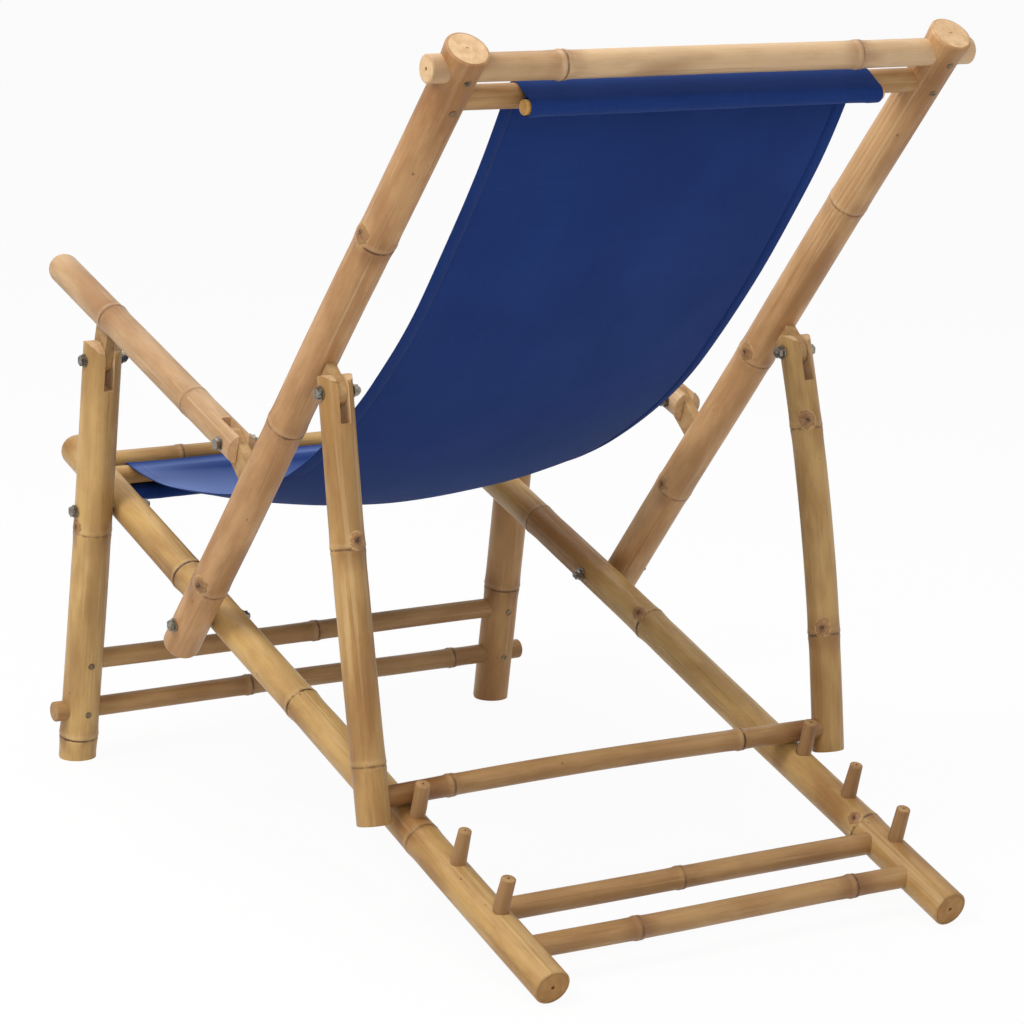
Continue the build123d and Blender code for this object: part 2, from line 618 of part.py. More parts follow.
def make_prop(name, side):
    """Prop, forked at the top, with a seat for the bar that rests against the pegs."""
    x = side * SIDE_OFFSET
    top = at_x(x, PROP_PIVOT + PROP_DIR * PROP_RADIUS)
    prop = pole(at_x(x, PROP_FOOT), top, PROP_RADIUS, PROP_RINGS[name])
    prop -= fork_slot(x, PROP_PIVOT, PROP_DIR, PROP_RADIUS, PROP_FORK_DEPTH)
    prop -= fork_nose(x, PROP_PIVOT, PROP_DIR, PROP_RADIUS)
    prop -= cross_rod(x - PROP_RADIUS, x + PROP_RADIUS, PROP_PIVOT, BOLT_RADIUS)
    prop -= bar_hole("prop_bar")
    keep(f"prop_{name}", prop)


def make_pivots():
    """Bolts, nuts and washers of the pivots that both sides of a frame share."""
    leg_inner = SIDE_OFFSET - LEG_RADIUS
    leg_spacer = (RAIL_OUTER, leg_inner - SEAT_GAP)
    back_spacer = (RAIL_OUTER, SIDE_OFFSET - UPRIGHT_RADIUS - SEAT_GAP)
    pivots = {
        "leg_pivot": (LEG_PIVOT, RAIL_INNER, LEG_OUTER + SEAT_GAP, [leg_spacer]),
        "back_pivot": (BACK_PIVOT, RAIL_INNER, UPRIGHT_OUTER + SEAT_GAP, [back_spacer]),
        "arm_front": (ARM_FRONT_PIVOT, leg_inner, LEG_OUTER, []),
        "prop": (PROP_PIVOT, SIDE_OFFSET - PROP_RADIUS, SIDE_OFFSET + PROP_RADIUS, []),
    }
    for name, (point, inner, outer, spacers) in pivots.items():
        sets = [bolt_set(side, point, inner, outer, spacers) for side in SIDES.values()]
        keep(f"{name}_bolts", *[bolt for bolt, _, _ in sets])
        keep(f"{name}_nuts", *[nut for _, nut, _ in sets])
        keep(f"{name}_washers", *[washer for _, _, washers in sets for washer in washers])


def main():
    """Build every node and write it to its own file."""
    make_cross_bars()
    for name, side in SIDES.items():
        make_rail(name, side)
        make_leg(name, side)
        make_upright(name, side)
        make_armrest(name, side)
        make_prop(name, side)
    make_pivots()
    keep("sling", sling())
    os.makedirs(PARTS_FOLDER, exist_ok=True)
    for name, shape in NODES.items():
        export_step(shape, f"{PARTS_FOLDER}/{name}.step")
    for name, point in (
        ("leg pivot", LEG_PIVOT), ("back pivot", BACK_PIVOT), ("armrest front pivot", ARM_FRONT_PIVOT),
        ("armrest rear pivot", ARM_REAR_PIVOT), ("prop pivot", PROP_PIVOT), ("leg foot", LEG_FOOT),
    ):
        print(f"{name}: x {SIDE_OFFSET:.2f}, y {point.Y:.3f}, z {point.Z:.3f}")


main()
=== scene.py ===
"""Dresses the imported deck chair: natural bamboo poles, a hemmed canvas sling, steel fasteners and a pale studio."""

import logging
import math
from dataclasses import dataclass, field
from enum import Enum

import bmesh
import bpy
from mathutils import Matrix, Vector, noise


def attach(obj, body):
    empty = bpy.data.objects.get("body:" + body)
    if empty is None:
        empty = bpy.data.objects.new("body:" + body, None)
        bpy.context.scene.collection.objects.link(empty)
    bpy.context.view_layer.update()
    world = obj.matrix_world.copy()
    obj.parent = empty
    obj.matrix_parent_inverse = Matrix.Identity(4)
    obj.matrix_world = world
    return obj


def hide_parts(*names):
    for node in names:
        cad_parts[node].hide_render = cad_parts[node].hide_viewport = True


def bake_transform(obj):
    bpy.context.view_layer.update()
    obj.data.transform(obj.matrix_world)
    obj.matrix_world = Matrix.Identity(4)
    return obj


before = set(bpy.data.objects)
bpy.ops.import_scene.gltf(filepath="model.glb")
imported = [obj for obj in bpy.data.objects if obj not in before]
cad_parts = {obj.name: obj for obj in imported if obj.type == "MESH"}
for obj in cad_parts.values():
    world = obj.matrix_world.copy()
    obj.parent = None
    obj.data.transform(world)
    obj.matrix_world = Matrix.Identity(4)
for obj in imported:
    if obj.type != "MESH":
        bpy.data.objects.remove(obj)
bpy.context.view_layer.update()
LOG = logging.getLogger("deck_chair")

Colour = tuple[float, float, float]
Socket = bpy.types.NodeSocket
Value = bpy.types.NodeSocket | tuple[float, ...] | float
MM = 0.001
SIDES = {"left": 1.0, "right": -1.0}
THICK = 0.015  # a stem with a larger radius is a pole, and a thinner one is a bar
COLLAR = 0.006  # reach of the raised collar that the solids have at a ring
SHARP = math.radians(38)  # a stem's edges that turn further stay sharp


def heading(angle: float) -> Vector:
    """Unit vector in the chair's side plane, so many degrees up from straight forward."""
    turn = math.radians(angle)
    return Vector((0.0, -math.cos(turn), math.sin(turn)))


def spot(y: float, z: float) -> Vector:
    """Default value of a field that holds a point in the middle plane."""
    return field(default_factory=lambda: Vector((0.0, y, z)))


def unit(value: float) -> float:
    """A value kept from 0 to 1."""
    return min(1.0, max(0.0, value))


def bell(value: float, middle: float, width: float) -> float:
    """Smooth bump with the height 1 at its middle."""
    return math.exp(-((value - middle) / width) ** 2)


def dome(value: float, reach: float) -> float:
    """Rounded hump with the height 1 at zero, which ends at its reach."""
    return max(0.0, 1 - (value / reach) ** 2)


def set_out(name: str, data: bpy.types.ID) -> bpy.types.Object:
    """Make an object and put it into the scene.

    Args:
        name: its name.
        data: its mesh, light or camera.

    Returns:
        The object.
    """
    made = bpy.data.objects.new(name, data)
    bpy.context.scene.collection.objects.link(made)
    return made


def keep(mesh: bpy.types.Mesh, facts: dict[str, list[float]]) -> None:
    """Store what the material reads at each point of a mesh.

    Args:
        mesh: the mesh.
        facts: for each attribute's name, one number for each point, or three.
    """
    for name, numbers in facts.items():
        single = len(numbers) == len(mesh.vertices)
        layer = mesh.attributes.new(name, "FLOAT" if single else "FLOAT_VECTOR", "POINT")
        layer.data.foreach_set("value" if single else "vector", numbers)


@dataclass(frozen=True)
class Layout:
    """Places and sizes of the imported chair, in metres and degrees, as its source gives them."""

    rail_slope: float = 17.3
    leg_slope: float = 8.0
    back_slope: float = 39.4
    rail_offset: float = 0.227
    side_offset: float = 0.267
    front_bar_at: float = 0.970
    front_bar_radius: float = 0.0105
    sling_bar_at: float = 0.755
    sling_bar_radius: float = 0.0115
    rail_rear: Vector = spot(0.498400, 0.016883)
    leg_foot: Vector = spot(-0.404854, 0.0)
    back_pivot: Vector = spot(-0.132693, 0.213448)
    arm_front: Vector = spot(-0.341152, 0.453263)
    arm_rear: Vector = spot(-0.041702, 0.418751)
    prop_pivot: Vector = spot(0.161409, 0.503748)

    def on_rail(self, along: float, above: float = 0.0) -> Vector:
        """Point beside a rail's axis, along from its rear end and square to it above."""
        return self.rail_rear + heading(self.rail_slope) * along + heading(self.rail_slope + 90) * above

    def on_leg(self, along: float) -> Vector:
        """Point on a leg's axis, along from the floor."""
        return self.leg_foot + heading(self.leg_slope + 90) * along

    def on_back(self, along: float) -> Vector:
        """Point on an upright's axis, along from the back pivot."""
        return self.back_pivot + heading(self.back_slope + 90) * along


LAYOUT = Layout()


class Graph:
    """Adds, fills and links nodes in one shader tree."""

    def __init__(self, tree: bpy.types.NodeTree) -> None:
        """Take the tree to work on."""
        self.tree = tree

    def find(self, kind: str) -> bpy.types.Node:
        """First node of a type that is in the tree already."""
        return next(node for node in self.tree.nodes if node.type == kind)

    def feed(self, socket: Socket, value: Value) -> None:
        """Link an input, or set its value.

        Args:
            socket: the input.
            value: an output socket or a plain value.
        """
        if isinstance(value, bpy.types.NodeSocket):
            self.tree.links.new(value, socket)
        elif isinstance(value, tuple) and len(value) == 3 and socket.type == "RGBA":
            socket.default_value = (*value, 1.0)
        else:
            socket.default_value = value

    def fill(self, node: bpy.types.Node, **inputs: Value) -> bpy.types.Node:
        """Link or set a node's inputs.

        Args:
            node: the node.
            inputs: sockets or values for the inputs of those names, with _ for a space.

        Returns:
            The node.
        """
        for name, value in inputs.items():
            self.feed(node.inputs[name.replace("_", " ")], value)
        return node

    def node(self, kind: str, **inputs: Value) -> bpy.types.Node:
        """Add a node of a type and fill its inputs."""
        return self.fill(self.tree.nodes.new(kind), **inputs)

    def math(self, operation: str, first: Value, second: Value = 0.0, clamp: bool = False) -> Socket:
        """Add a Math node.

        Args:
            operation: Blender's name of the operation.
            first: first value or socket.
            second: second value or socket.
            clamp: keep the result from 0 to 1.

        Returns:
            The result.
        """
        made = self.tree.nodes.new("ShaderNodeMath")
        made.operation = operation
        made.use_clamp = clamp
        self.feed(made.inputs[0], first)
        self.feed(made.inputs[1], second)
        return made.outputs[0]

    def times(self, first: Value, second: Value) -> Socket:
        """Product of two values."""
        return self.math("MULTIPLY", first, second)

    def plus(self, first: Value, second: Value) -> Socket:
        """Sum of two values."""
        return self.math("ADD", first, second)

    def minus(self, first: Value, second: Value) -> Socket:
        """Difference of two values."""
        return self.math("SUBTRACT", first, second)

    def mix(self, share: Value, first: Value, second: Value) -> Socket:
        """Mix two colours.

        Args:
            share: how much of the second shows.
            first: a colour or socket.
            second: a colour or socket.

        Returns:
            The mixed colour.
        """
        made = self.tree.nodes.new("ShaderNodeMix")
        made.data_type = "RGBA"
        for index, given in ((0, share), (6, first), (7, second)):
            self.feed(made.inputs[index], given)
        return made.outputs[2]

    def coats(self, colour: Value, *coats: tuple[Value, Colour]) -> Socket:
        """Lay further colours over a colour.

        Args:
            colour: the colour below.
            coats: for each coat from below, how much of it shows, and its colour.

        Returns:
            The colour on top.
        """
        for share, coat in coats:
            colour = self.mix(share, colour, coat)
        return colour

    def step(self, value: Value, low: float, high: float, start: float = 0.0, end: float = 1.0) -> Socket:
        """Smooth step of a value.

        Args:
            value: the socket to map.
            low: where the step begins.
            high: where it ends.
            start: result below low.
            end: result above high.

        Returns:
            The stepped value.
        """
        made = self.tree.nodes.new("ShaderNodeMapRange")
        made.interpolation_type = "SMOOTHSTEP"
        for socket, given in zip(made.inputs[:5], (value, low, high, start, end)):
            self.feed(socket, given)
        return made.outputs[0]

    def scaled(self, vector: Socket, factors: tuple[float, float, float]) -> Socket:
        """Multiply a vector.

        Args:
            vector: the socket.
            factors: one factor for each axis.

        Returns:
            The scaled vector.
        """
        made = self.tree.nodes.new("ShaderNodeVectorMath")
        made.operation = "MULTIPLY"
        self.feed(made.inputs[0], vector)
        made.inputs[1].default_value = factors
        return made.outputs[0]

    def noise(self, vector: Socket, factors: tuple[float, float, float], detail: float = 2.0,
              rough: float = 0.5) -> Socket:
        """Noise from 0 to 1.

        Args:
            vector: the coordinates, in metres.
            factors: how many times finer than a metre it is on each axis.
            detail: number of finer layers.
            rough: strength of the finer layers.

        Returns:
            The noise value.
        """
        place = self.scaled(vector, factors)
        return self.node("ShaderNodeTexNoise", Vector=place, Scale=1.0, Detail=detail, Roughness=rough).outputs[0]

    def grain(self, place: Socket, along: float, across: float, detail: float = 2.0, rough: float = 0.5) -> Socket:
        """Noise with one fineness along a stem and another across it."""
        return self.noise(place, (along, across, across), detail, rough)

    def cells(self, place: Socket, along: float, across: float) -> bpy.types.bpy_prop_collection:
        """Outputs of a pattern of cells, with one fineness along a stem and another across it."""
        place = self.scaled(place, (along, across, across))
        return self.node("ShaderNodeTexVoronoi", Vector=place, Scale=1.0).outputs

    def attribute(self, name: str, output: str) -> Socket:
        """Read a mesh attribute.

        Args:
            name: the attribute's name.
            output: the node's output to use.

        Returns:
            The output socket.
        """
        made = self.tree.nodes.new("ShaderNodeAttribute")
        made.attribute_name = name
        return made.outputs[output]

    def own_place(self) -> Socket:
        """The object's own coordinates."""
        return self.node("ShaderNodeTexCoord").outputs["Object"]

    def bump(self, height: Socket, depth: float, strength: float) -> Socket:
        """Normal of a fine relief, whose height of 1 is so many metres deep."""
        return self.node("ShaderNodeBump", Height=height, Distance=depth, Strength=strength).outputs[0]

    def seen(self) -> Socket:
        """A mask of 1 where the surroundings are seen, directly, mirrored or through glass.

        Returns:
            The mask.
        """
        path = self.node("ShaderNodeLightPath").outputs
        either = self.math("MAXIMUM", path["Is Camera Ray"], path["Is Glossy Ray"])
        return self.math("MAXIMUM", either, path["Is Transmission Ray"])


class Effect(Enum):
    """Shared shader effects, each one node group."""

    FIBRE = "culm_fibre"
    RING = "culm_ring"
    SAWN = "sawn_grain"
    WEAVE = "canvas_weave"
    WEAR = "metal_wear"


class EffectShelf:
    """Makes each shared effect once, as a node group."""

    yarn_pitch = 0.0013

    def __init__(self) -> None:
        """Start with an empty shelf."""
        self.made: dict[Effect, bpy.types.NodeTree] = {}

    def use(self, graph: Graph, effect: Effect, **inputs: Value) -> bpy.types.bpy_prop_collection:
        """Put an effect into a material.

        Args:
            graph: the material's graph.
            effect: which effect.
            inputs: sockets or values for the group's inputs.

        Returns:
            The group's outputs.
        """
        if effect not in self.made:
            builders = {
                Effect.FIBRE: self.fibre,
                Effect.RING: self.ring,
                Effect.SAWN: self.sawn,
                Effect.WEAVE: self.weave,
                Effect.WEAR: self.wear,
            }
            self.made[effect] = builders[effect]()
        made = graph.tree.nodes.new("ShaderNodeGroup")
        made.node_tree = self.made[effect]
        return graph.fill(made, **inputs).outputs

    @staticmethod
    def begin(effect: Effect, *inputs: str) -> tuple[Graph, list[Socket]]:
        """Start a node group.

        Args:
            effect: which effect it is.
            inputs: names of its vector inputs.

        Returns:
            The group's graph and its input sockets.
        """
        tree = bpy.data.node_groups.new(effect.value, "ShaderNodeTree")
        for name in inputs:
            tree.interface.new_socket(name, in_out="INPUT", socket_type="NodeSocketVector")
        source = tree.nodes.new("NodeGroupInput")
        return Graph(tree), [source.outputs[name] for name in inputs]

    @staticmethod
    def end(graph: Graph, **outputs: Socket) -> bpy.types.NodeTree:
        """Give a node group its outputs.

        Args:
            graph: the group's graph.
            outputs: the value that each output puts out.

        Returns:
            The node group.
        """
        for name in outputs:
            graph.tree.interface.new_socket(name, in_out="OUTPUT", socket_type="NodeSocketFloat")
        graph.node("NodeGroupOutput", **outputs)
        return graph.tree

    def fibre(self) -> bpy.types.NodeTree:
        """Lengthwise fibres, blotches, pale strokes, cracks and freckles of a culm's skin.

        Returns:
            The node group.
        """
        graph, (place,) = self.begin(Effect.FIBRE, "Place")
        fine = graph.grain(place, 16.0, 620.0, 3.0, 0.6)
        broad = graph.grain(place, 5.0, 150.0)
        streak = graph.plus(graph.times(fine, 0.6), graph.times(broad, 0.4))
        patch = graph.grain(place, 7.0, 26.0, 1.0)
        stroke_at = graph.grain(place, 4.0, 190.0, 1.0)
        stroke = graph.times(graph.step(stroke_at, 0.56, 0.66), graph.step(patch, 0.42, 0.58))
        crack_at = graph.grain(place, 3.2, 300.0)
        crack = graph.times(graph.step(crack_at, 0.60, 0.70), graph.step(patch, 0.36, 0.60, 1.0, 0.0))
        speck = graph.cells(place, 70.0, 105.0)
        chance = graph.step(speck["Color"], 0.62, 0.98, 0.0, 0.15)
        fleck = graph.step(graph.minus(speck["Distance"], chance), -0.06, 0.0, 1.0, 0.0)
        rise = graph.minus(graph.times(streak, 0.5), graph.times(fleck, 0.5))
        dent = graph.plus(graph.times(stroke, 0.6), graph.times(crack, 0.4))
        return self.end(
            graph, Streak=streak, Mottle=graph.grain(place, 11.0, 42.0, 5.0, 0.62),
            Stain=graph.grain(place, 5.0, 17.0), Stroke=stroke, Crack=crack, Fleck=fleck,
            Height=graph.minus(rise, dent))

    def ring(self) -> bpy.types.NodeTree:
        """Dark line, pale rim and toasted skin at a culm's rings.

        Returns:
            The node group.
        """
        graph, (place, ring) = self.begin(Effect.RING, "Place", "Ring")
        away, rim_at, force = graph.node("ShaderNodeSeparateXYZ", Vector=ring).outputs
        ripple = graph.grain(place, 130.0, 130.0)
        broken = graph.times(graph.step(ripple, 0.30, 0.52, 0.30, 1.0), force)
        edge = graph.math("DIVIDE", away, graph.step(ripple, 0.2, 0.8, 0.0011, 0.0022))
        burn = graph.grain(place, 16.0, 38.0, 3.0)
        return self.end(
            graph, Line=graph.times(graph.step(edge, 0.25, 1.0, 1.0, 0.0), broken),
            Rim=graph.times(rim_at, graph.step(ripple, 0.25, 0.7, 0.5, 1.0)),
            Toast=graph.times(graph.step(away, 0.0, 0.030, 1.0, 0.0), graph.step(burn, 0.36, 0.66)))

    def sawn(self) -> bpy.types.NodeTree:
        """Fibre ends and saw marks of a cut face.

        Returns:
            The node group.
        """
        graph, (place,) = self.begin(Effect.SAWN, "Place")
        dots = graph.step(graph.cells(place, 300.0, 780.0)["Distance"], 0.12, 0.42, 1.0, 0.0)
        marks = graph.noise(place, (20.0, 60.0, 900.0))
        return self.end(
            graph, Tint=graph.grain(place, 60.0, 90.0, 4.0, 0.6), Dots=dots,
            Height=graph.minus(graph.times(marks, 0.5), graph.times(dots, 0.4)))

    def weave(self) -> bpy.types.NodeTree:
        """Plain weave with uneven yarns and soft fading.

        Returns:
            The node group.
        """
        graph, (cloth,) = self.begin(Effect.WEAVE, "Cloth")
        along, across, _ = graph.node("ShaderNodeSeparateXYZ", Vector=cloth).outputs
        pace = 2 * math.pi / self.yarn_pitch
        warp, weft = (graph.math("SINE", graph.times(way, pace)) for way in (along, across))
        slubs = graph.plus(graph.noise(cloth, (14.0, 760.0, 1.0)), graph.noise(cloth, (760.0, 14.0, 1.0)))
        yarn = graph.times(slubs, 0.5)
        return self.end(
            graph, Height=graph.plus(graph.times(graph.times(warp, weft), 0.35), yarn), Yarn=yarn,
            Fade=graph.noise(cloth, (5.0, 6.5, 1.0), 3.0, 0.55))

    def wear(self) -> bpy.types.NodeTree:
        """Dull patches and fine scratches of plated steel.

        Returns:
            The node group.
        """
        graph, (place,) = self.begin(Effect.WEAR, "Place")
        return self.end(
            graph, Dull=graph.grain(place, 240.0, 240.0, 4.0, 0.6),
            Scratch=graph.noise(place, (300.0, 2600.0, 900.0)))


@dataclass(frozen=True)
class Finish:
    """A finish, with its colours in linear light."""

    name: str


@dataclass(frozen=True)
class BambooFinish(Finish):
    """Skin of a culm."""

    pale: Colour
    deep: Colour
    toast: Colour
    ring: Colour
    bloom: Colour
    roughness: float = 0.42
    scuff: float = 0.24


@dataclass(frozen=True)
class SawnFinish(Finish):
    """Sawn or turned wood.

    Attributes:
        source: the attribute that places the grain, or an empty name for the object's own coordinates.
        skin_at: radius at which a cut end darkens towards the skin, or 0.
    """

    pale: Colour
    deep: Colour
    dots: Colour
    roughness: float = 0.62
    source: str = "culm"
    skin_at: float = 0.0


@dataclass(frozen=True)
class KnotFinish(Finish):
    """Branch scar, from its heart to its edge."""

    heart: Colour
    inner: Colour
    outer: Colour
    edge: Colour
    crease: Colour
    roughness: float = 0.6


@dataclass(frozen=True)
class ClothFinish(Finish):
    """Woven cloth. Its bloom is a painted sheen, the pale colour that the seat is mixed towards at flat angles."""

    base: Colour
    faded: Colour
    bloom: Colour
    roughness: float = 0.88
    sheen: float = 0.10
    sheen_tint: Colour = (0.44, 0.60, 1.0)


@dataclass(frozen=True)
class MetalFinish(Finish):
    """Plated steel."""

    bright: Colour
    dull: Colour
    roughness: float


POLE = BambooFinish("bamboo_pole", (0.550, 0.350, 0.131), (0.302, 0.155, 0.046), (0.195, 0.082, 0.023),
                    (0.050, 0.020, 0.007), (0.64, 0.46, 0.25))
ROSY = BambooFinish("bamboo_rosy", (0.530, 0.304, 0.132), (0.300, 0.140, 0.048), (0.200, 0.080, 0.024),
                    (0.055, 0.021, 0.008), (0.64, 0.45, 0.26), scuff=0.28)
CREAM = BambooFinish("bamboo_cream", (0.570, 0.385, 0.215), (0.345, 0.192, 0.082), (0.23, 0.100, 0.034),
                     (0.135, 0.062, 0.025), (0.66, 0.49, 0.31))
TOASTED = BambooFinish("bamboo_toasted", (0.500, 0.288, 0.112), (0.320, 0.152, 0.050), (0.200, 0.078, 0.022),
                       (0.050, 0.020, 0.007), (0.60, 0.42, 0.22))
BAR = BambooFinish("bamboo_bar", (0.420, 0.245, 0.098), (0.250, 0.118, 0.038), (0.170, 0.066, 0.020),
                   (0.050, 0.020, 0.008), (0.53, 0.35, 0.17), 0.44)
PEG = BambooFinish("bamboo_peg", (0.345, 0.195, 0.080), (0.215, 0.102, 0.037), (0.150, 0.058, 0.019),
                   (0.055, 0.024, 0.009), (0.48, 0.31, 0.16), 0.5)
POLE_CUT = SawnFinish("bamboo_cut", (0.66, 0.45, 0.26), (0.52, 0.325, 0.165), (0.42, 0.245, 0.11))
RAIL_CUT = SawnFinish("rail_cut", (0.40, 0.215, 0.072), (0.31, 0.150, 0.045), (0.20, 0.090, 0.027), skin_at=0.0176)
BAR_CUT = SawnFinish("bar_cut", (0.42, 0.255, 0.110), (0.29, 0.150, 0.058), (0.19, 0.09, 0.034))
TONGUE = SawnFinish("tongue_wood", (0.45, 0.285, 0.125), (0.31, 0.170, 0.068), (0.22, 0.11, 0.042), 0.55, "")
DOWEL = SawnFinish("dowel_wood", (0.66, 0.42, 0.15), (0.50, 0.25, 0.06), (0.36, 0.15, 0.035), 0.5, "")
KNOT = KnotFinish("knot", (0.045, 0.018, 0.007), (0.23, 0.105, 0.036), (0.36, 0.192, 0.070), (0.43, 0.260, 0.105),
                  (0.14, 0.056, 0.019))
# the last colour of each cloth, its bloom, is a painted sheen
CANVAS = ClothFinish("canvas", (0.0060, 0.0240, 0.128), (0.0112, 0.0380, 0.176), (0.140, 0.200, 0.440))
THREAD = ClothFinish("thread", (0.0080, 0.0290, 0.146), (0.0125, 0.0410, 0.186), (0.060, 0.100, 0.260))
STEEL = MetalFinish("steel", (0.29, 0.26, 0.22), (0.115, 0.098, 0.077), 0.40)
SCREW = MetalFinish("screw_steel", (0.24, 0.175, 0.11), (0.10, 0.068, 0.04), 0.55)


class MaterialShelf:
    """Makes each finish's material once."""

    def __init__(self) -> None:
        """Start with an empty shelf."""
        self.effects = EffectShelf()
        self.made: dict[str, bpy.types.Material] = {}

    def use(self, finish: Finish) -> bpy.types.Material:
        """Material of a finish.

        Args:
            finish: the finish.

        Returns:
            The material, made at its first use.
        """
        if finish.name not in self.made:
            material = bpy.data.materials.new(finish.name)
            material.use_nodes = True
            graph = Graph(material.node_tree)
            recipes = {
                BambooFinish: self.bamboo,
                SawnFinish: self.sawn,
                KnotFinish: self.knot,
                ClothFinish: self.canvas,
                MetalFinish: self.steel,
            }
            graph.fill(graph.find("BSDF_PRINCIPLED"), **recipes[type(finish)](finish, graph))
            self.made[finish.name] = material
        return self.made[finish.name]

    def bamboo(self, finish: BambooFinish, graph: Graph) -> dict[str, Value]:
        """Skin of a culm.

        Args:
            finish: its colours.
            graph: the material's graph.

        Returns:
            What goes into the shader's inputs.
        """
        place = graph.attribute("culm", "Vector")
        tone = graph.attribute("tone", "Fac")
        fibre = self.effects.use(graph, Effect.FIBRE, Place=place)
        ring = self.effects.use(graph, Effect.RING, Place=place, Ring=graph.attribute("ring", "Vector"))
        depth = graph.plus(graph.times(graph.step(fibre["Streak"], 0.32, 0.70), 0.22),
                           graph.times(graph.step(fibre["Mottle"], 0.36, 0.66), 0.50))
        patchy = graph.plus(tone, graph.step(fibre["Mottle"], 0.30, 0.70, -0.35, 0.35))
        colour = graph.coats(
            graph.mix(graph.math("ADD", depth, tone, clamp=True), finish.pale, finish.deep),
            (graph.step(fibre["Stain"], 0.50, 0.70, 0.0, 0.5), finish.toast),
            (graph.step(patchy, 0.55, 1.45, 0.0, 0.75), finish.toast),
            (graph.times(fibre["Stroke"], finish.scuff), finish.bloom),
            (graph.times(fibre["Crack"], finish.scuff), finish.toast),
            (graph.times(ring["Toast"], 0.70), finish.toast),
            (graph.times(ring["Rim"], 0.30), finish.bloom),
            (graph.times(ring["Line"], 0.92), finish.ring),
            (graph.times(fibre["Fleck"], 0.55), finish.ring))
        rough = graph.step(fibre["Mottle"], 0.2, 0.8, finish.roughness - 0.08, finish.roughness + 0.12)
        return {"Base_Color": colour, "Roughness": rough, "Specular_IOR_Level": 0.32,
                "Normal": graph.bump(fibre["Height"], 0.0012, 0.6)}

    def sawn(self, finish: SawnFinish, graph: Graph) -> dict[str, Value]:
        """Sawn or turned wood.

        Args:
            finish: its colours.
            graph: the material's graph.

        Returns:
            What goes into the shader's inputs.
        """
        place = graph.attribute(finish.source, "Vector") if finish.source else graph.own_place()
        grain = self.effects.use(graph, Effect.SAWN, Place=place)
        colour = graph.mix(graph.step(grain["Tint"], 0.3, 0.72), finish.pale, finish.deep)
        colour = graph.mix(graph.times(grain["Dots"], 0.45), colour, finish.dots)
        if finish.skin_at:
            spoke = graph.node("ShaderNodeVectorMath")
            spoke.operation = "LENGTH"
            graph.feed(spoke.inputs[0], graph.scaled(place, (0.0, 1.0, 1.0)))
            rim = graph.step(spoke.outputs["Value"], finish.skin_at - 0.0022, finish.skin_at, 0.0, 0.8)
            colour = graph.mix(rim, colour, finish.dots)
        return {"Base_Color": colour, "Roughness": finish.roughness, "Specular_IOR_Level": 0.3,
                "Normal": graph.bump(grain["Height"], 0.0006, 0.5)}

    @staticmethod
    def knot(finish: KnotFinish, graph: Graph) -> dict[str, Value]:
        """Branch scar on a culm, dark in the middle and fading into the skin.

        Args:
            finish: its colours.
            graph: the material's graph.

        Returns:
            What goes into the shader's inputs.
        """
        uneven = graph.grain(graph.attribute("culm", "Vector"), 190.0, 190.0, 3.0)
        spread = graph.plus(graph.attribute("scar", "Fac"), graph.times(graph.minus(uneven, 0.5), 0.95))
        crease = graph.math("ABSOLUTE", graph.minus(spread, 0.72))
        colour = graph.coats(
            finish.heart,
            (graph.step(spread, 0.08, 0.34), finish.inner),
            (graph.step(spread, 0.36, 0.66), finish.outer),
            (graph.step(spread, 0.74, 0.90), finish.edge),
            (graph.step(crease, 0.01, 0.12, 0.50, 0.0), finish.crease))
        return {"Base_Color": colour, "Roughness": finish.roughness, "Normal": graph.bump(uneven, 0.0007, 0.6)}

    def canvas(self, finish: ClothFinish, graph: Graph) -> dict[str, Value]:
        """Woven cloth, with a painted sheen: the sitter's side of the seat is mixed towards a pale blue where it is
        seen at flat angles.

        Args:
            finish: its colours.
            graph: the material's graph.

        Returns:
            What goes into the shader's inputs.
        """
        weave = self.effects.use(graph, Effect.WEAVE, Cloth=graph.attribute("cloth", "Vector"))
        fade = graph.plus(graph.times(graph.step(weave["Fade"], 0.30, 0.75), 0.55),
                          graph.times(graph.step(weave["Yarn"], 0.30, 0.72), 0.45))
        graze = graph.node("ShaderNodeLayerWeight", Blend=0.5).outputs["Facing"]
        # painted sheen: on the seat's sitter side the colour turns towards the pale bloom at flat angles
        sheen = graph.times(graph.step(graze, 0.34, 0.86, 0.0, 0.85), graph.attribute("seat", "Fac"))
        colour = graph.mix(sheen, graph.mix(fade, finish.base, finish.faded), finish.bloom)
        return {"Base_Color": colour, "Roughness": finish.roughness, "Specular_IOR_Level": 0.12,
                "Sheen_Weight": finish.sheen, "Sheen_Roughness": 0.45, "Sheen_Tint": finish.sheen_tint,
                "Normal": graph.bump(weave["Height"], 0.0005, 0.45)}

    def steel(self, finish: MetalFinish, graph: Graph) -> dict[str, Value]:
        """Plated steel.

        Args:
            finish: its colours.
            graph: the material's graph.

        Returns:
            What goes into the shader's inputs.
        """
        wear = self.effects.use(graph, Effect.WEAR, Place=graph.own_place())
        colour = graph.mix(graph.step(wear["Dull"], 0.35, 0.70), finish.bright, finish.dull)
        rough = graph.step(wear["Dull"], 0.3, 0.75, finish.roughness - 0.1, finish.roughness + 0.14)
        return {"Base_Color": colour, "Roughness": rough, "Metallic": 1.0,
                "Normal": graph.bump(wear["Scratch"], 0.0002, 0.3)}


SHELF = MaterialShelf()


@dataclass(frozen=True)
class Growth:
    """How one stem grew.

    Attributes:
        finish: its skin.
        rings: places of its rings, as shares of its length.
        tone: how much darker than the finish it is.
        stains: toasted stretches, each a place and a half length as shares of the length, and a strength.
        bow: bow at the middle, in metres, across and upwards.
    """

    finish: BambooFinish
    rings: tuple[float, ...] = ()
    tone: float = 0.0
    stains: tuple[tuple[float, float, float], ...] = ()
    bow: tuple[float, float] = (0.0, 0.0)


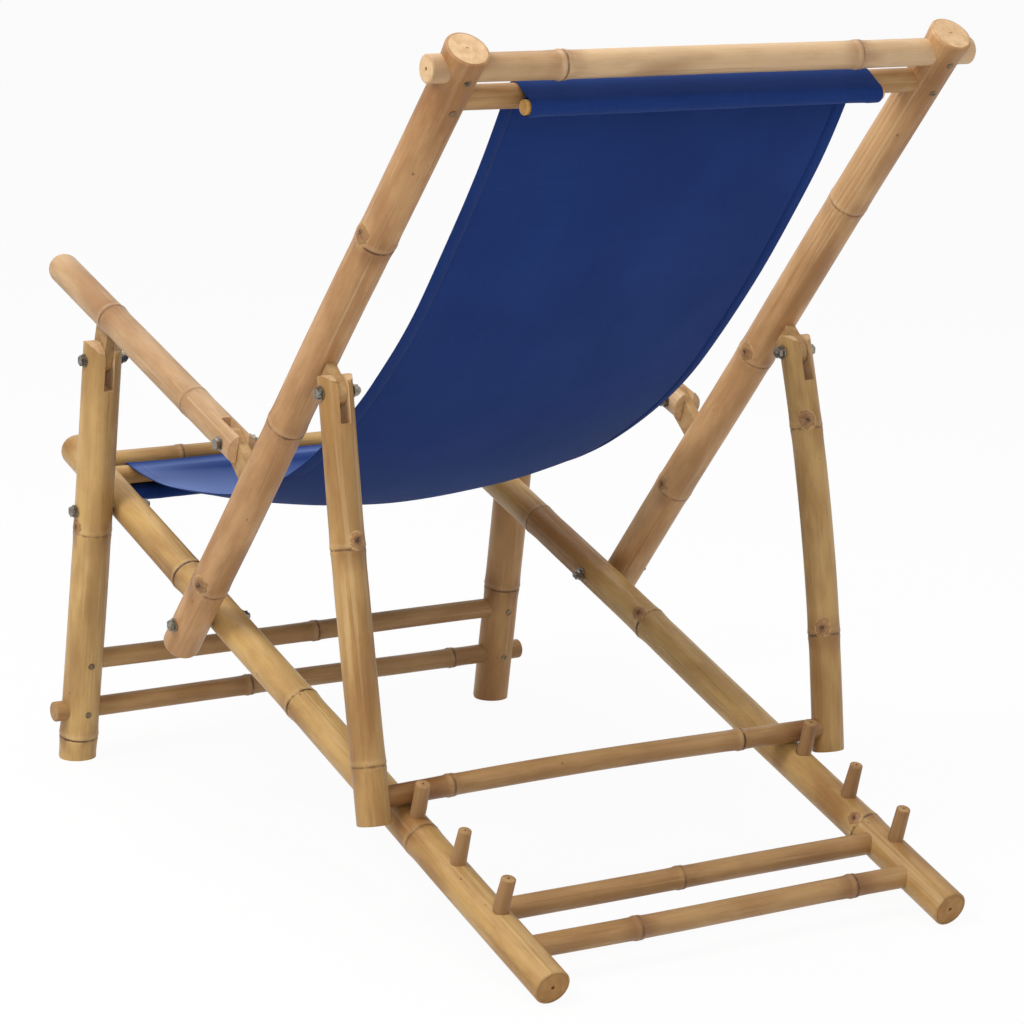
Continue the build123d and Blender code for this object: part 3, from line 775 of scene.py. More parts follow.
GROWN = {
    "rail_left": Growth(POLE, (0.230, 0.466, 0.714),
                        stains=((0.252, 0.024, 0.60), (0.99, 0.03, 0.4), (0.07, 0.17, 0.26))),
    "rail_right": Growth(POLE, (0.134, 0.520, 0.743),
                         stains=((0.180, 0.032, 0.40), (0.69, 0.075, 1.05), (0.90, 0.06, 0.5), (0.06, 0.15, 0.32))),
    "leg_left": Growth(POLE, (0.060, 0.555), -0.10),
    "leg_right": Growth(TOASTED, (0.297, 0.723), 0.10),
    "upright_left": Growth(ROSY, (0.121, 0.413, 0.718), 0.12, ((0.94, 0.045, 0.55),)),
    "upright_right": Growth(ROSY, (0.211, 0.464, 0.730), -0.04, ((0.93, 0.04, 0.45),)),
    "armrest_left": Growth(CREAM, (0.238, 0.680), 0.15),
    "armrest_right": Growth(CREAM, (0.181, 0.611), 0.15),
    "prop_left": Growth(POLE, (0.132, 0.614), 0.32, bow=(0.002, 0.0)),
    "prop_right": Growth(POLE, (0.280, 0.776), 0.20, bow=(-0.0095, 0.0)),
    "front_bar_upper": Growth(POLE, (0.747,), 0.12),
    "front_bar_lower": Growth(POLE, (), 0.25),
    "rear_stretcher_upper": Growth(BAR, (0.526,)),
    "rear_stretcher_lower": Growth(BAR, (0.176, 0.712)),
    "leg_stretcher_upper": Growth(BAR, (0.463,)),
    "leg_stretcher_lower": Growth(BAR, (0.156, 0.599)),
    "head_bar": Growth(CREAM, (0.224, 0.770), -0.35, ((0.86, 0.085, 0.75),)),
    "sling_bar": Growth(BAR),
    "prop_bar": Growth(BAR, (0.212, 0.832), stains=((0.92, 0.08, 0.8), (0.06, 0.05, 0.5)), bow=(0.0, 0.003)),
}
PEG_GROWN = Growth(PEG)


class Part(Enum):
    """Faces of a culm that take their own material."""

    SKIN = 0
    CUT = 1


@dataclass
class Culm:
    """One bamboo pole, bar or peg, made from its solid with the unevenness of a grown stem.

    Attributes:
        node: the solid's name.
        body: the body that it moves with.
        start: lower or rear end of its axis.
        end: upper or front end of its axis.
        radius: its radius.
        cut: its sawn faces.
        flare: growth of the radius from the start to the end, as a share.
        tip: swelling at the far end, in metres.
        rim: how far the far end's edge is worn round, in metres.
        heel: how far the near end's edge is worn round, in metres.
        closed: whether the pith at the far end is closed.
        piece: the finished object.
    """

    node: str
    body: str
    start: Vector
    end: Vector
    radius: float
    cut: SawnFinish = POLE_CUT
    flare: float = 0.0
    tip: float = 0.0
    rim: float = 0.0
    heel: float = 0.0
    closed: bool = False
    piece: bpy.types.Object | None = None

    def __post_init__(self) -> None:
        """Work out the axis, the directions round it, the rings and the seed of the unevenness."""
        span = self.end - self.start
        self.length = span.length
        self.axis = span.normalized()
        self.across = Vector((0.0, 1.0, 0.0)) if abs(self.axis.x) > 0.9 else Vector((1.0, 0.0, 0.0))
        self.upward = self.axis.cross(self.across).normalized()
        self.seed = sum(ord(letter) * (place + 3) for place, letter in enumerate(self.node)) % 997 * 0.173
        self.grown = GROWN.get(self.node, PEG_GROWN)
        self.rings = [share * self.length for share in self.grown.rings]

    def stations(self) -> list[float]:
        """Places along the axis where the mesh gets a row of points.

        Returns:
            Distances from the start, in order.
        """
        row_step, ring_room, end_room = 0.022, 0.021, 0.004
        ring_rows = (0.0, 1.2, 2.4, 3.8, 5.6, 8.0, 11.0, 15.0, 20.0)
        tip_rows = (4.0, 9.0, 14.0, 20.0, 28.0)
        rows = int(self.length / row_step)
        found = {round(self.length * row / rows, 5) for row in range(1, rows)}
        for ring in self.rings:
            found = {at for at in found if abs(at - ring) > ring_room}
            found.update(round(ring + way * step * MM, 5) for step in ring_rows for way in (-1, 1))
        if self.tip:
            found.update(round(self.length - step * MM, 5) for step in tip_rows)
        found = {at for at in found if end_room < at < self.length - end_room}
        for share in (0.12, 0.35, 0.65, 1.0):
            if self.rim:
                found.add(round(self.length - self.rim * share, 6))
            if self.heel:
                found.add(round(self.heel * share, 6))
        return sorted(found)

    def wear(self, along: float) -> float:
        """Loss of radius at the worn edges of both ends.

        Args:
            along: place along the axis.

        Returns:
            The loss, in metres.
        """
        loss = 0.0
        for depth, reach in ((self.length - along, self.rim), (along, self.heel)):
            if reach and depth < reach:
                rest = reach - max(0.0, depth)
                loss += reach - math.sqrt(max(0.0, reach ** 2 - rest ** 2))
        return loss

    def nearest_ring(self, along: float) -> float:
        """Signed distance of a place along the axis from the nearest ring, or 0.2 m where there is none."""
        return min((along - ring for ring in self.rings), key=abs, default=0.2)

    def ring_force(self, along: float) -> float:
        """How strongly the ring nearest to a place along the axis shows, from 0.55 to 1."""
        ring = along - self.nearest_ring(along)
        return 0.55 + 0.45 * (math.sin(ring * 143.0 + self.seed * 7.0) * 0.5 + 0.5)

    def ring_facts(self, along: float) -> tuple[float, float, float]:
        """What the material reads about the nearest ring.

        Args:
            along: place along the axis.

        Returns:
            The distance from it, the pale rim's share and the ring's force.
        """
        away = self.nearest_ring(along)
        force = self.ring_force(along)
        return abs(away), force * bell(away, 0.0042, 0.0024), force

    def tone_at(self, along: float) -> float:
        """Darkness of the skin at a place along the axis, with the toasted stretches added to its own tone."""
        share = along / self.length
        return self.grown.tone + sum(
            force * math.exp(-((share - at) / half) ** 4) for at, half, force in self.grown.stains)

    def growth(self, along: float, turn: float) -> float:
        """Change of the radius at a place on the skin.

        Args:
            along: place along the axis.
            turn: angle round the axis.

        Returns:
            The change, in metres.
        """
        ring = self.nearest_ring(along)
        away = ring + 0.0006 * math.sin(turn + self.seed)
        share = self.radius / 0.02 * self.ring_force(along)
        collar = -(0.0010 if self.radius > THICK else 0.0003) * dome(ring, COLLAR)
        ridge = 0.0007 * share * bell(away, 0.002, 0.010)
        lip = 0.0003 * share * bell(away, 0.0030, 0.0020)
        groove = -0.0009 * share * bell(away, -0.0002, 0.0012)
        waist = -0.0003 * share * bell(away, -0.016, 0.014)
        slow = noise.noise(Vector((along * 7.0 + self.seed, math.cos(turn) * 0.6, math.sin(turn) * 0.6)))
        oval = 0.012 * math.cos(2 * turn + self.seed)
        taper = self.flare * (along / self.length - 0.5)
        tip = self.tip * bell(along, self.length, 0.016)
        return (collar + ridge + lip + groove + waist + tip - self.wear(along)
                + self.radius * (0.022 * slow + oval + taper))

    def sway(self, along: float) -> Vector:
        """Sideways shift of the axis.

        Args:
            along: place along the axis.

        Returns:
            The shift, zero at both ends.
        """
        arch = math.sin(math.pi * unit(along / self.length))
        wander = noise.noise(Vector((along * 3.2, self.seed, 1.7))) * 0.0016 * arch
        across, upward = self.grown.bow
        return self.across * (across * arch + wander) + self.upward * (upward * arch - wander * 0.7)

    def raw_mesh(self) -> bmesh.types.BMesh:
        """The solid's own faces, cut into rows.

        Returns:
            The mesh in work.
        """
        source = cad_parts[self.node].data
        plain = bpy.data.meshes.new("raw")
        plain.from_pydata([vertex.co[:] for vertex in source.vertices], [],
                          [face.vertices[:] for face in source.polygons])
        made = bmesh.new()
        made.from_mesh(plain)
        bpy.data.meshes.remove(plain)
        bmesh.ops.remove_doubles(made, verts=made.verts, dist=2e-6)
        for along in self.stations():
            geometry = made.verts[:] + made.edges[:] + made.faces[:]
            bmesh.ops.bisect_plane(made, geom=geometry, dist=1e-6, plane_co=self.start + self.axis * along,
                                   plane_no=self.axis)
        return made

    def close_pith(self, made: bmesh.types.BMesh) -> None:
        """Close the pith at the far end with a small disc.

        Args:
            made: the mesh in work.
        """
        pith_radius, pith_depth = 0.0021, 0.0006
        turned = self.axis.to_track_quat("Z", "Y").to_matrix().to_4x4()
        seat = Matrix.Translation(self.start + self.axis * (self.length - pith_depth))
        bmesh.ops.create_circle(made, cap_ends=True, segments=24, radius=pith_radius, matrix=seat @ turned)

    def is_cut(self, face: bmesh.types.BMFace) -> bool:
        """Whether a face is sawn and not skin.

        Args:
            face: a face of the unchanged solid.

        Returns:
            True for ends, slots and holes.
        """
        end_facing, inner_share, skin_facing = 0.97, 0.93, 0.75
        middle = face.calc_center_median() - self.start
        spoke = middle - self.axis * middle.dot(self.axis)
        if abs(face.normal.dot(self.axis)) > end_facing or spoke.length < 1e-6:
            return True
        return spoke.length < inner_share * self.radius and face.normal.dot(spoke.normalized()) < skin_facing

    def build(self) -> None:
        """Make the piece that stands for the solid."""
        made = self.raw_mesh()
        if self.closed:
            self.close_pith(made)
        made.normal_update()
        for face in made.faces:
            face.smooth = True
            face.material_index = Part.CUT.value if self.is_cut(face) else Part.SKIN.value
        facts: dict[str, list[float]] = {"culm": [], "ring": [], "tone": []}
        for vertex in made.verts:
            middle = vertex.co - self.start
            along = middle.dot(self.axis)
            spoke = middle - self.axis * along
            turn = math.atan2(spoke.dot(self.upward), spoke.dot(self.across))
            facts["culm"] += (along + self.seed, spoke.dot(self.across), spoke.dot(self.upward))
            facts["ring"] += self.ring_facts(along)
            facts["tone"].append(self.tone_at(along))
            share = min(1.0, spoke.length / self.radius)
            outward = spoke.normalized() if spoke.length > 1e-7 else Vector()
            vertex.co += outward * (self.growth(along, turn) * share) + self.sway(along)
        mesh = bpy.data.meshes.new(f"{self.node}_culm")
        made.to_mesh(mesh)
        made.free()
        keep(mesh, facts)
        mesh.set_sharp_from_angle(angle=SHARP)
        self.piece = set_out(mesh.name, mesh)
        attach(self.piece, self.body)
        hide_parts(self.node)

    def dress(self) -> None:
        """Give the piece its skin and its sawn faces."""
        for finish in (self.grown.finish, self.cut):
            self.piece.data.materials.append(SHELF.use(finish))


@dataclass
class BambooFrame:
    """All poles, bars and pegs of the chair, with their sizes in metres."""

    rail_length: float = 1.048
    rail_radius: float = 0.018
    leg_radius: float = 0.0205
    back_below: float = 0.038
    back_above: float = 0.815
    back_radius: float = 0.0195
    arm_radius: float = 0.0165
    arm_drop: float = 0.053
    arm_behind: float = 0.018
    arm_ahead: float = 0.127
    prop_radius: float = 0.0165
    prop_below: float = 0.024
    prop_bar_at: float = 0.279
    prop_bar_above: float = 0.0288
    peg_first: float = 0.098
    peg_pitch: float = 0.0805
    peg_sunk: float = 0.020
    peg_length: float = 0.055
    peg_radius: float = 0.0075
    stretcher_radius: float = 0.011
    worn: float = 0.0014
    culms: list[Culm] = field(default_factory=list)

    def add_pole(self, node: str, body: str, x: float, start: Vector, end: Vector, radius: float,
                 **rest: SawnFinish | float | bool) -> None:
        """Add a pole beside the middle plane.

        Args:
            node: the solid's name.
            body: its body.
            x: its distance from the middle plane.
            start: lower or rear end in the side plane.
            end: upper or front end in the side plane.
            radius: its radius.
            rest: further fields of the pole.
        """
        out = Vector((x, 0.0, 0.0))
        self.culms.append(Culm(node, body, start + out, end + out, radius, **rest))

    def add_bar(self, node: str, body: str, half: float, place: Vector, radius: float, worn: float = 0.0,
                cut: SawnFinish = BAR_CUT) -> None:
        """Add a bar across the chair.

        Args:
            node: the solid's name.
            body: its body.
            half: half its length.
            place: where it crosses the middle plane.
            radius: its radius.
            worn: how far the edges of its ends are worn round.
            cut: its sawn faces.
        """
        reach = Vector((half, 0.0, 0.0))
        self.culms.append(Culm(node, body, place - reach, place + reach, radius, cut, rim=worn, heel=worn))

    def prop_seat(self) -> Vector:
        """Where the prop bar's axis crosses the middle plane."""
        return LAYOUT.on_rail(self.prop_bar_at, self.prop_bar_above)

    def plan_side(self, name: str, side: float) -> None:
        """List the poles and pegs of one side.

        Args:
            name: the side's name.
            side: 1 for the sitter's left and -1 for the right.
        """
        rail_x = side * LAYOUT.rail_offset
        x = side * LAYOUT.side_offset
        self.add_pole(f"rail_{name}", "base", rail_x, LAYOUT.on_rail(0.0), LAYOUT.on_rail(self.rail_length),
                      self.rail_radius, cut=RAIL_CUT, rim=self.worn, heel=self.worn)
        leg_up = heading(LAYOUT.leg_slope + 90)
        foot_below = self.leg_radius * math.tan(math.radians(LAYOUT.leg_slope))
        self.add_pole(f"leg_{name}", "legs", x, LAYOUT.leg_foot - leg_up * foot_below,
                      LAYOUT.arm_front + leg_up * self.leg_radius, self.leg_radius)
        self.add_pole(f"upright_{name}", "backrest", x, LAYOUT.on_back(-self.back_below),
                      LAYOUT.on_back(self.back_above), self.back_radius, tip=0.0016, rim=0.0024, heel=0.0020,
                      closed=True)
        link = LAYOUT.arm_front - LAYOUT.arm_rear
        arm_way = Matrix.Rotation(-math.asin(self.arm_drop / link.length), 3, "X") @ link.normalized()
        arm_reach = math.sqrt(link.length ** 2 - self.arm_drop ** 2) + self.arm_ahead
        self.add_pole(f"armrest_{name}", f"armrest_{name}", x, LAYOUT.arm_rear - arm_way * self.arm_behind,
                      LAYOUT.arm_rear + arm_way * arm_reach, self.arm_radius)
        prop_way = (LAYOUT.prop_pivot - self.prop_seat()).normalized()
        self.add_pole(f"prop_{name}", "prop", x, self.prop_seat() - prop_way * self.prop_below,
                      LAYOUT.prop_pivot + prop_way * self.prop_radius, self.prop_radius)
        rail_up = heading(LAYOUT.rail_slope + 90)
        for index, (peg, flare) in enumerate((("rear", -0.16), ("middle", -0.30), ("front", -0.05))):
            foot = LAYOUT.on_rail(self.peg_first + index * self.peg_pitch, self.rail_radius - self.peg_sunk)
            self.add_pole(f"peg_{name}_{peg}", "base", rail_x, foot, foot + rail_up * self.peg_length,
                          self.peg_radius, cut=BAR_CUT, flare=flare, rim=0.0010)

    def plan_bars(self) -> None:
        """List the bars across the chair."""
        self.add_bar("front_bar_upper", "base", 0.233, LAYOUT.on_rail(1.003), LAYOUT.front_bar_radius)
        self.add_bar("front_bar_lower", "base", 0.233, LAYOUT.on_rail(LAYOUT.front_bar_at), LAYOUT.front_bar_radius)
        self.add_bar("rear_stretcher_upper", "base", 0.233, LAYOUT.on_rail(0.120), self.stretcher_radius)
        self.add_bar("rear_stretcher_lower", "base", 0.233, LAYOUT.on_rail(0.0606), self.stretcher_radius)
        self.add_bar("leg_stretcher_upper", "legs", 0.273, LAYOUT.on_leg(0.114), self.stretcher_radius)
        self.add_bar("leg_stretcher_lower", "legs", 0.299, LAYOUT.on_leg(0.057), self.stretcher_radius, self.worn)
        self.add_bar("head_bar", "backrest", 0.300, LAYOUT.on_back(0.792), 0.013, 0.0012, POLE_CUT)
        self.add_bar("sling_bar", "backrest", 0.273, LAYOUT.on_back(LAYOUT.sling_bar_at), LAYOUT.sling_bar_radius)
        self.add_bar("prop_bar", "prop", 0.273, self.prop_seat(), 0.0105)

    def build(self) -> None:
        """Make every pole, bar and peg where the solids have them."""
        for name, side in SIDES.items():
            self.plan_side(name, side)
        self.plan_bars()
        for culm in self.culms:
            culm.build()

    def dress(self) -> list[bpy.types.Object]:
        """Give every culm its materials.

        Returns:
            The finished pieces.
        """
        for culm in self.culms:
            culm.dress()
        return [culm.piece for culm in self.culms]

    def find(self, node: str) -> Culm:
        """The culm that stands for a solid."""
        return next(culm for culm in self.culms if culm.node == node)


@dataclass(frozen=True)
class Scar:
    """Where a branch was: its culm, the ring's number, the angle round the culm in degrees, and its size."""

    node: str
    ring: int
    angle: float
    size: float


SCARS = (
    Scar("upright_left", 2, 2.0, 1.30),
    Scar("upright_left", 0, 22.0, 1.30),
    Scar("upright_right", 1, 10.0, 1.25),
    Scar("upright_right", 0, 0.0, 1.05),
    Scar("leg_left", 1, 6.0, 1.00),
    Scar("prop_left", 1, 95.0, 1.05),
    Scar("prop_right", 1, 60.0, 1.15),
    Scar("prop_right", 0, 50.0, 1.05),
    Scar("rail_right", 1, 42.0, 1.05),
    Scar("rail_right", 0, 42.0, 0.95),
    Scar("rail_left", 0, 250.0, 0.8),
    Scar("armrest_left", 1, 200.0, 0.7),
    Scar("armrest_right", 0, 250.0, 0.7),
)


@dataclass
class BranchScars:
    """Branch scars at the rings, one mesh for each body. The sizes are in metres, for a scar of size 1."""

    bamboo: BambooFrame
    half_long: float = 0.0100
    half_wide: float = 0.0088
    past_ring: float = 0.0075
    swell: float = 0.0012
    outline: float = 1.08
    count: int = 12
    pieces: dict[str, bpy.types.Object] = field(default_factory=dict)

    def relief(self, u: float, v: float, size: float) -> float:
        """Height of a scar above the skin.

        Args:
            u: place along the culm, from -1 to 1.
            v: place round it, from -1 to 1.
            size: the scar's size.

        Returns:
            The height, in metres.
        """
        reach = math.hypot(u, v)
        hill = 0.0013 * size * dome(reach, 1.0) ** 1.2
        pit = 0.0011 * size * bell(math.hypot(u - 0.1, v + 0.15), 0.0, 0.22)
        crease = 0.0004 * size * bell(reach, 0.70, 0.12)
        sink = 0.0008 * max(0.0, reach - 0.8)
        return hill - pit - crease - sink

    def patch(self, mesh: bmesh.types.BMesh, scar: Scar, facts: dict[str, list[float]]) -> None:
        """Add one scar.

        Args:
            mesh: the mesh in work.
            scar: where it is and how large.
            facts: lists of what the material reads at each point.
        """
        culm = self.bamboo.find(scar.node)
        half_long, half_wide = self.half_long * scar.size, self.half_wide * scar.size
        grid = []
        for row in range(self.count + 1):
            u = 2 * row / self.count - 1
            along = culm.rings[scar.ring] + u * half_long + self.past_ring * scar.size
            swell = self.swell * dome(culm.nearest_ring(along), COLLAR)
            grid.append([])
            for column in range(self.count + 1):
                v = 2 * column / self.count - 1
                turn = math.radians(scar.angle) + v * half_wide / culm.radius
                height = culm.radius + swell + culm.growth(along, turn) + self.relief(u, v, scar.size)
                spoke = culm.across * math.cos(turn) + culm.upward * math.sin(turn)
                grid[-1].append(mesh.verts.new(culm.start + culm.axis * along + spoke * height + culm.sway(along)))
                facts["scar"].append(math.hypot(u, v))
                facts["culm"] += (along + culm.seed, v * half_wide, u * half_long)
        for row in range(self.count):
            for column in range(self.count):
                u = 2 * (row + 0.5) / self.count - 1
                v = 2 * (column + 0.5) / self.count - 1
                if math.hypot(u, v) < self.outline:
                    mesh.faces.new((grid[row][column], grid[row + 1][column], grid[row + 1][column + 1],
                                    grid[row][column + 1])).smooth = True

    def build(self) -> None:
        """Make the scars of each body."""
        for body in sorted({self.bamboo.find(scar.node).body for scar in SCARS}):
            made = bmesh.new()
            facts: dict[str, list[float]] = {"scar": [], "culm": []}
            for scar in SCARS:
                if self.bamboo.find(scar.node).body == body:
                    self.patch(made, scar, facts)
            mesh = bpy.data.meshes.new(f"branch_scars_{body}")
            made.to_mesh(mesh)
            made.free()
            keep(mesh, facts)
            self.pieces[body] = set_out(mesh.name, mesh)

    def dress(self) -> list[bpy.types.Object]:
        """Give the scars their material and their motion.

        Returns:
            The finished pieces.
        """
        for body, piece in self.pieces.items():
            piece.data.materials.append(SHELF.use(KNOT))
            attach(piece, body)
        return list(self.pieces.values())


@dataclass
class Sling:
    """Canvas sling: one sheet from hem to hem, with folded side hems and stitching.

    Attributes:
        width: finished width.
        thickness: thickness of the cloth.
        half_gap: distance of the cloth's middle line from what it lies on.
        hem_width: width of the folded side hems.
        dowel_radius: radius of the dowels in the end hems.
        dowel_room: gap between an end hem and the bar before it.
        hem_loop: how far an end hem goes round its dowel, in degrees.
        seat_normal: heading of the cloth's normal where it leaves the front bar.
        back_normal: heading of the cloth's normal where it reaches the sling bar.
        seat_lead: how far the front bar's tangent leads the hung curve.
        path: points of the middle line, from the front hem to the top hem.
        marks: distance of each point along the line.
        spans: distances at which the parts of the line end.
        piece: the finished sheet.
        stitching: the finished stitches.
    """

    width: float = 0.390
    thickness: float = 0.00075
    half_gap: float = 0.00105
    hem_width: float = 0.013
    dowel_radius: float = 0.0070
    dowel_room: float = 0.0025
    hem_loop: float = 322.0
    seat_normal: float = 97.6
    back_normal: float = 28.2
    seat_lead: float = 0.310
    path: list[Vector] = field(default_factory=list)
    marks: list[float] = field(default_factory=list)
    spans: dict[str, float] = field(default_factory=dict)
    piece: bpy.types.Object | None = None
    stitching: bpy.types.Object | None = None

    @staticmethod
    def arc(centre: Vector, first: Vector, last: Vector, sense: float, step: float) -> list[Vector]:
        """Points along an arc in the side plane, without its first point.

        Args:
            centre: middle of the arc.
            first: where it begins.
            last: direction point where it ends.
            sense: 1 to turn from +Y to +Z, -1 for the other way.
            step: largest distance between points.

        Returns:
            The points.
        """
        begin = math.atan2((first - centre).z, (first - centre).y)
        finish = math.atan2((last - centre).z, (last - centre).y)
        sweep = (sense * (finish - begin)) % (2 * math.pi)
        radius = (first - centre).length
        count = max(4, math.ceil(sweep * radius / step))
        turns = [begin + sense * sweep * index / count for index in range(1, count + 1)]
        return [centre + Vector((0.0, math.cos(turn), math.sin(turn))) * radius for turn in turns]

    @staticmethod
    def straight(first: Vector, last: Vector) -> list[Vector]:
        """Five points along a line, without its first point."""
        return [first.lerp(last, index / 5) for index in range(1, 6)]

    @staticmethod
    def touching(first: Vector, first_radius: float, second: Vector, second_radius: float, turn: float) -> Vector:
        """Normal of the line that touches two circles on one side.

        Args:
            first: centre of the first circle.
            first_radius: its radius.
            second: centre of the second circle.
            second_radius: its radius.
            turn: 1 or -1, the way from the centre line.

        Returns:
            The normal.
        """
        span = second - first
        angle = math.radians(90) - math.asin((first_radius - second_radius) / span.length)
        return Matrix.Rotation(turn * angle, 3, "X") @ span.normalized()

    def trace(self) -> None:
        """Lay out the cloth's middle line from the front hem to the top hem."""
        front_bar = LAYOUT.on_rail(LAYOUT.front_bar_at)
        top_bar = LAYOUT.on_back(LAYOUT.sling_bar_at)
        front_wrap = LAYOUT.front_bar_radius + self.half_gap
        top_wrap = LAYOUT.sling_bar_radius + self.half_gap
        hem_wrap = self.dowel_radius + self.half_gap
        reach = hem_wrap + self.dowel_room
        front_hem = front_bar + heading(8.0 - 90) * (front_wrap + reach)
        top_hem = top_bar - heading(LAYOUT.back_slope - 18.0) * (top_wrap + reach)
        seat_normal, back_normal = heading(self.seat_normal), heading(self.back_normal)
        seat_way, back_way = heading(self.seat_normal + 90), heading(self.back_normal + 90)
        seat_end = front_bar + seat_normal * front_wrap
        back_end = top_bar + back_normal * top_wrap
        lead = self.seat_lead
        span = back_end - seat_end
        back_lead = (span.dot(span) - 2 * lead * span.dot(seat_way)) / (
            2 * (span.dot(back_way) - lead * (seat_way.dot(back_way) - 1)))
        share = lead / (lead + back_lead)
        meet = (seat_end + seat_way * lead) * (1 - share) + (back_end - back_way * back_lead) * share
        to_seat = meet - seat_end
        to_back = meet - back_end
        seat_centre = seat_end + seat_normal * (to_seat.dot(to_seat) / (2 * to_seat.dot(seat_normal)))
        back_centre = back_end + back_normal * (to_back.dot(to_back) / (2 * to_back.dot(back_normal)))
        front_normal = self.touching(front_bar, front_wrap, front_hem, hem_wrap, -1.0)
        top_normal = self.touching(top_bar, top_wrap, top_hem, hem_wrap, 1.0)
        front_touch = front_hem + front_normal * hem_wrap
        front_leave = front_bar + front_normal * front_wrap
        top_leave = top_bar + top_normal * top_wrap
        top_touch = top_hem + top_normal * hem_wrap
        sense = 1.0 if (front_leave - front_touch).cross(front_normal).x < 0 else -1.0
        loop = math.radians(self.hem_loop)
        begin = Matrix.Rotation(-sense * loop, 3, "X") @ (front_normal * hem_wrap) + front_hem
        done = Matrix.Rotation(sense * loop, 3, "X") @ (top_normal * hem_wrap) + top_hem
        hem_step, wrap_step, free_step = 0.0016, 0.0022, 0.0065
        stretches = {
            "front_hem": self.arc(front_hem, begin, front_touch, sense, hem_step),
            "front_line": self.straight(front_touch, front_leave),
            "seat": self.arc(front_bar, front_leave, seat_end, sense, wrap_step),
            "hollow": self.arc(seat_centre, seat_end, meet, -sense, free_step),
            "back": self.arc(back_centre, meet, back_end, -sense, free_step),
            "turn": self.arc(top_bar, back_end, top_leave, sense, wrap_step),
            "top_hem": self.straight(top_leave, top_touch),
            "end": self.arc(top_hem, top_touch, done, sense, hem_step),
        }
        self.path, self.marks = [begin], [0.0]
        for name, points in stretches.items():
            for point in points:
                self.marks.append(self.marks[-1] + (point - self.path[-1]).length)
                self.path.append(point)
            self.spans[name] = self.marks[-1]

    def frame_at(self, along: float) -> tuple[Vector, Vector]:
        """Point and outward normal on the middle line.

        Args:
            along: distance from the front hem's cut edge.

        Returns:
            The point and the normal on the sitter's side.
        """
        index = next((i for i, mark in enumerate(self.marks) if mark >= along), len(self.marks) - 1)
        index = max(1, index)
        first, second = self.path[index - 1], self.path[index]
        share = unit((along - self.marks[index - 1]) / (self.marks[index] - self.marks[index - 1]))
        before = self.path[max(0, index - 2)]
        after = self.path[min(len(self.path) - 1, index + 1)]
        way = (second - before).normalized().lerp((after - first).normalized(), share).normalized()
        return first.lerp(second, share), Vector((0.0, -way.z, way.y))

    def free_share(self, along: float) -> float:
        """Share of the way up the hung curve, from the front bar to the sling bar."""
        seat, back = self.spans["seat"], self.spans["back"]
        return (along - seat) / (back - seat)

    @staticmethod
    def belly(share: float) -> float:
        """How far the cloth's middle hangs below its edges.

        Args:
            share: share of the way up the hung curve.

        Returns:
            The depth, in metres.
        """
        depth, lead, lowest, power = 0.0283, 0.02, 0.26, 2.6
        along = max(share - lead, 0.0) / (1 - lead)
        rise = (along / lowest) ** lowest
        fall = ((1 - along) / (1 - lowest)) ** (1 - lowest)
        return depth * (rise * fall) ** power

    def ripple(self, along: float, x: float) -> float:
        """Unevenness of the hung cloth.

        Args:
            along: distance from the front hem's cut edge.
            x: distance from the middle plane.

        Returns:
            The shift along the normal, in metres.
        """
        if self.spans["seat"] < along < self.spans["back"]:
            share = self.free_share(along)
            free = min(1.0, share * 9.0) * min(1.0, (1 - share) * 9.0)
            slow = 0.0030 * noise.noise(Vector((x * 5.5, along * 4.0, 0.3)))
            mid = 0.0010 * noise.noise(Vector((x * 17.0, along * 9.0, 4.1)))
            edge = 0.0030 * (abs(x) / (self.width / 2)) ** 6 * noise.noise(Vector((along * 6.0, x * 2.0, 9.0)))
            arch = 1 - (2 * x / self.width) ** 2
            return free * (slow + mid + edge) - self.belly(share) * arch
        if self.spans["back"] <= along < self.spans["top_hem"]:
            return 0.0
        return 0.0005 * (1 + noise.noise(Vector((x * 46.0, along * 30.0, 7.7))))

    def point(self, along: float, x: float, lift: float) -> Vector:
        """A point of the cloth, along from the front hem, across at x and lifted towards the sitter."""
        middle, normal = self.frame_at(along)
        return middle + normal * (lift + self.ripple(along, x)) + Vector((x, 0.0, 0.0))

    def profile(self) -> list[tuple[float, float, float]]:
        """Cross-section of the sheet, with both side hems folded under.

        Returns:
            Place across, lift, and place across the flat cut, for each column.
        """
        edge, hem = self.width / 2, self.hem_width
        step, columns = 0.00042, 46
        inner = edge - hem * 1.35
        right = [(edge - hem, -step), (edge - hem * 0.5, -step), (edge - 0.0012, -step), (edge - 0.0003, -step * 0.6),
                 (edge, 0.0), (edge - 0.0003, step * 0.6), (edge - 0.0012, step), (edge - hem * 0.5, step),
                 (edge - hem * 0.9, step * 0.9), (edge - hem * 1.12, step * 0.25), (inner, 0.0)]
        middle = [(inner - 2 * inner * index / columns, 0.0) for index in range(1, columns)]
        line = [*right, *middle, *((-x, lift) for x, lift in reversed(right))]
        flat = 0.0
        found = [(*line[0], flat)]
        for (x0, n0), (x1, n1) in zip(line, line[1:]):
            flat += math.hypot(x1 - x0, n1 - n0)
            found.append((x1, n1, flat))
        return found

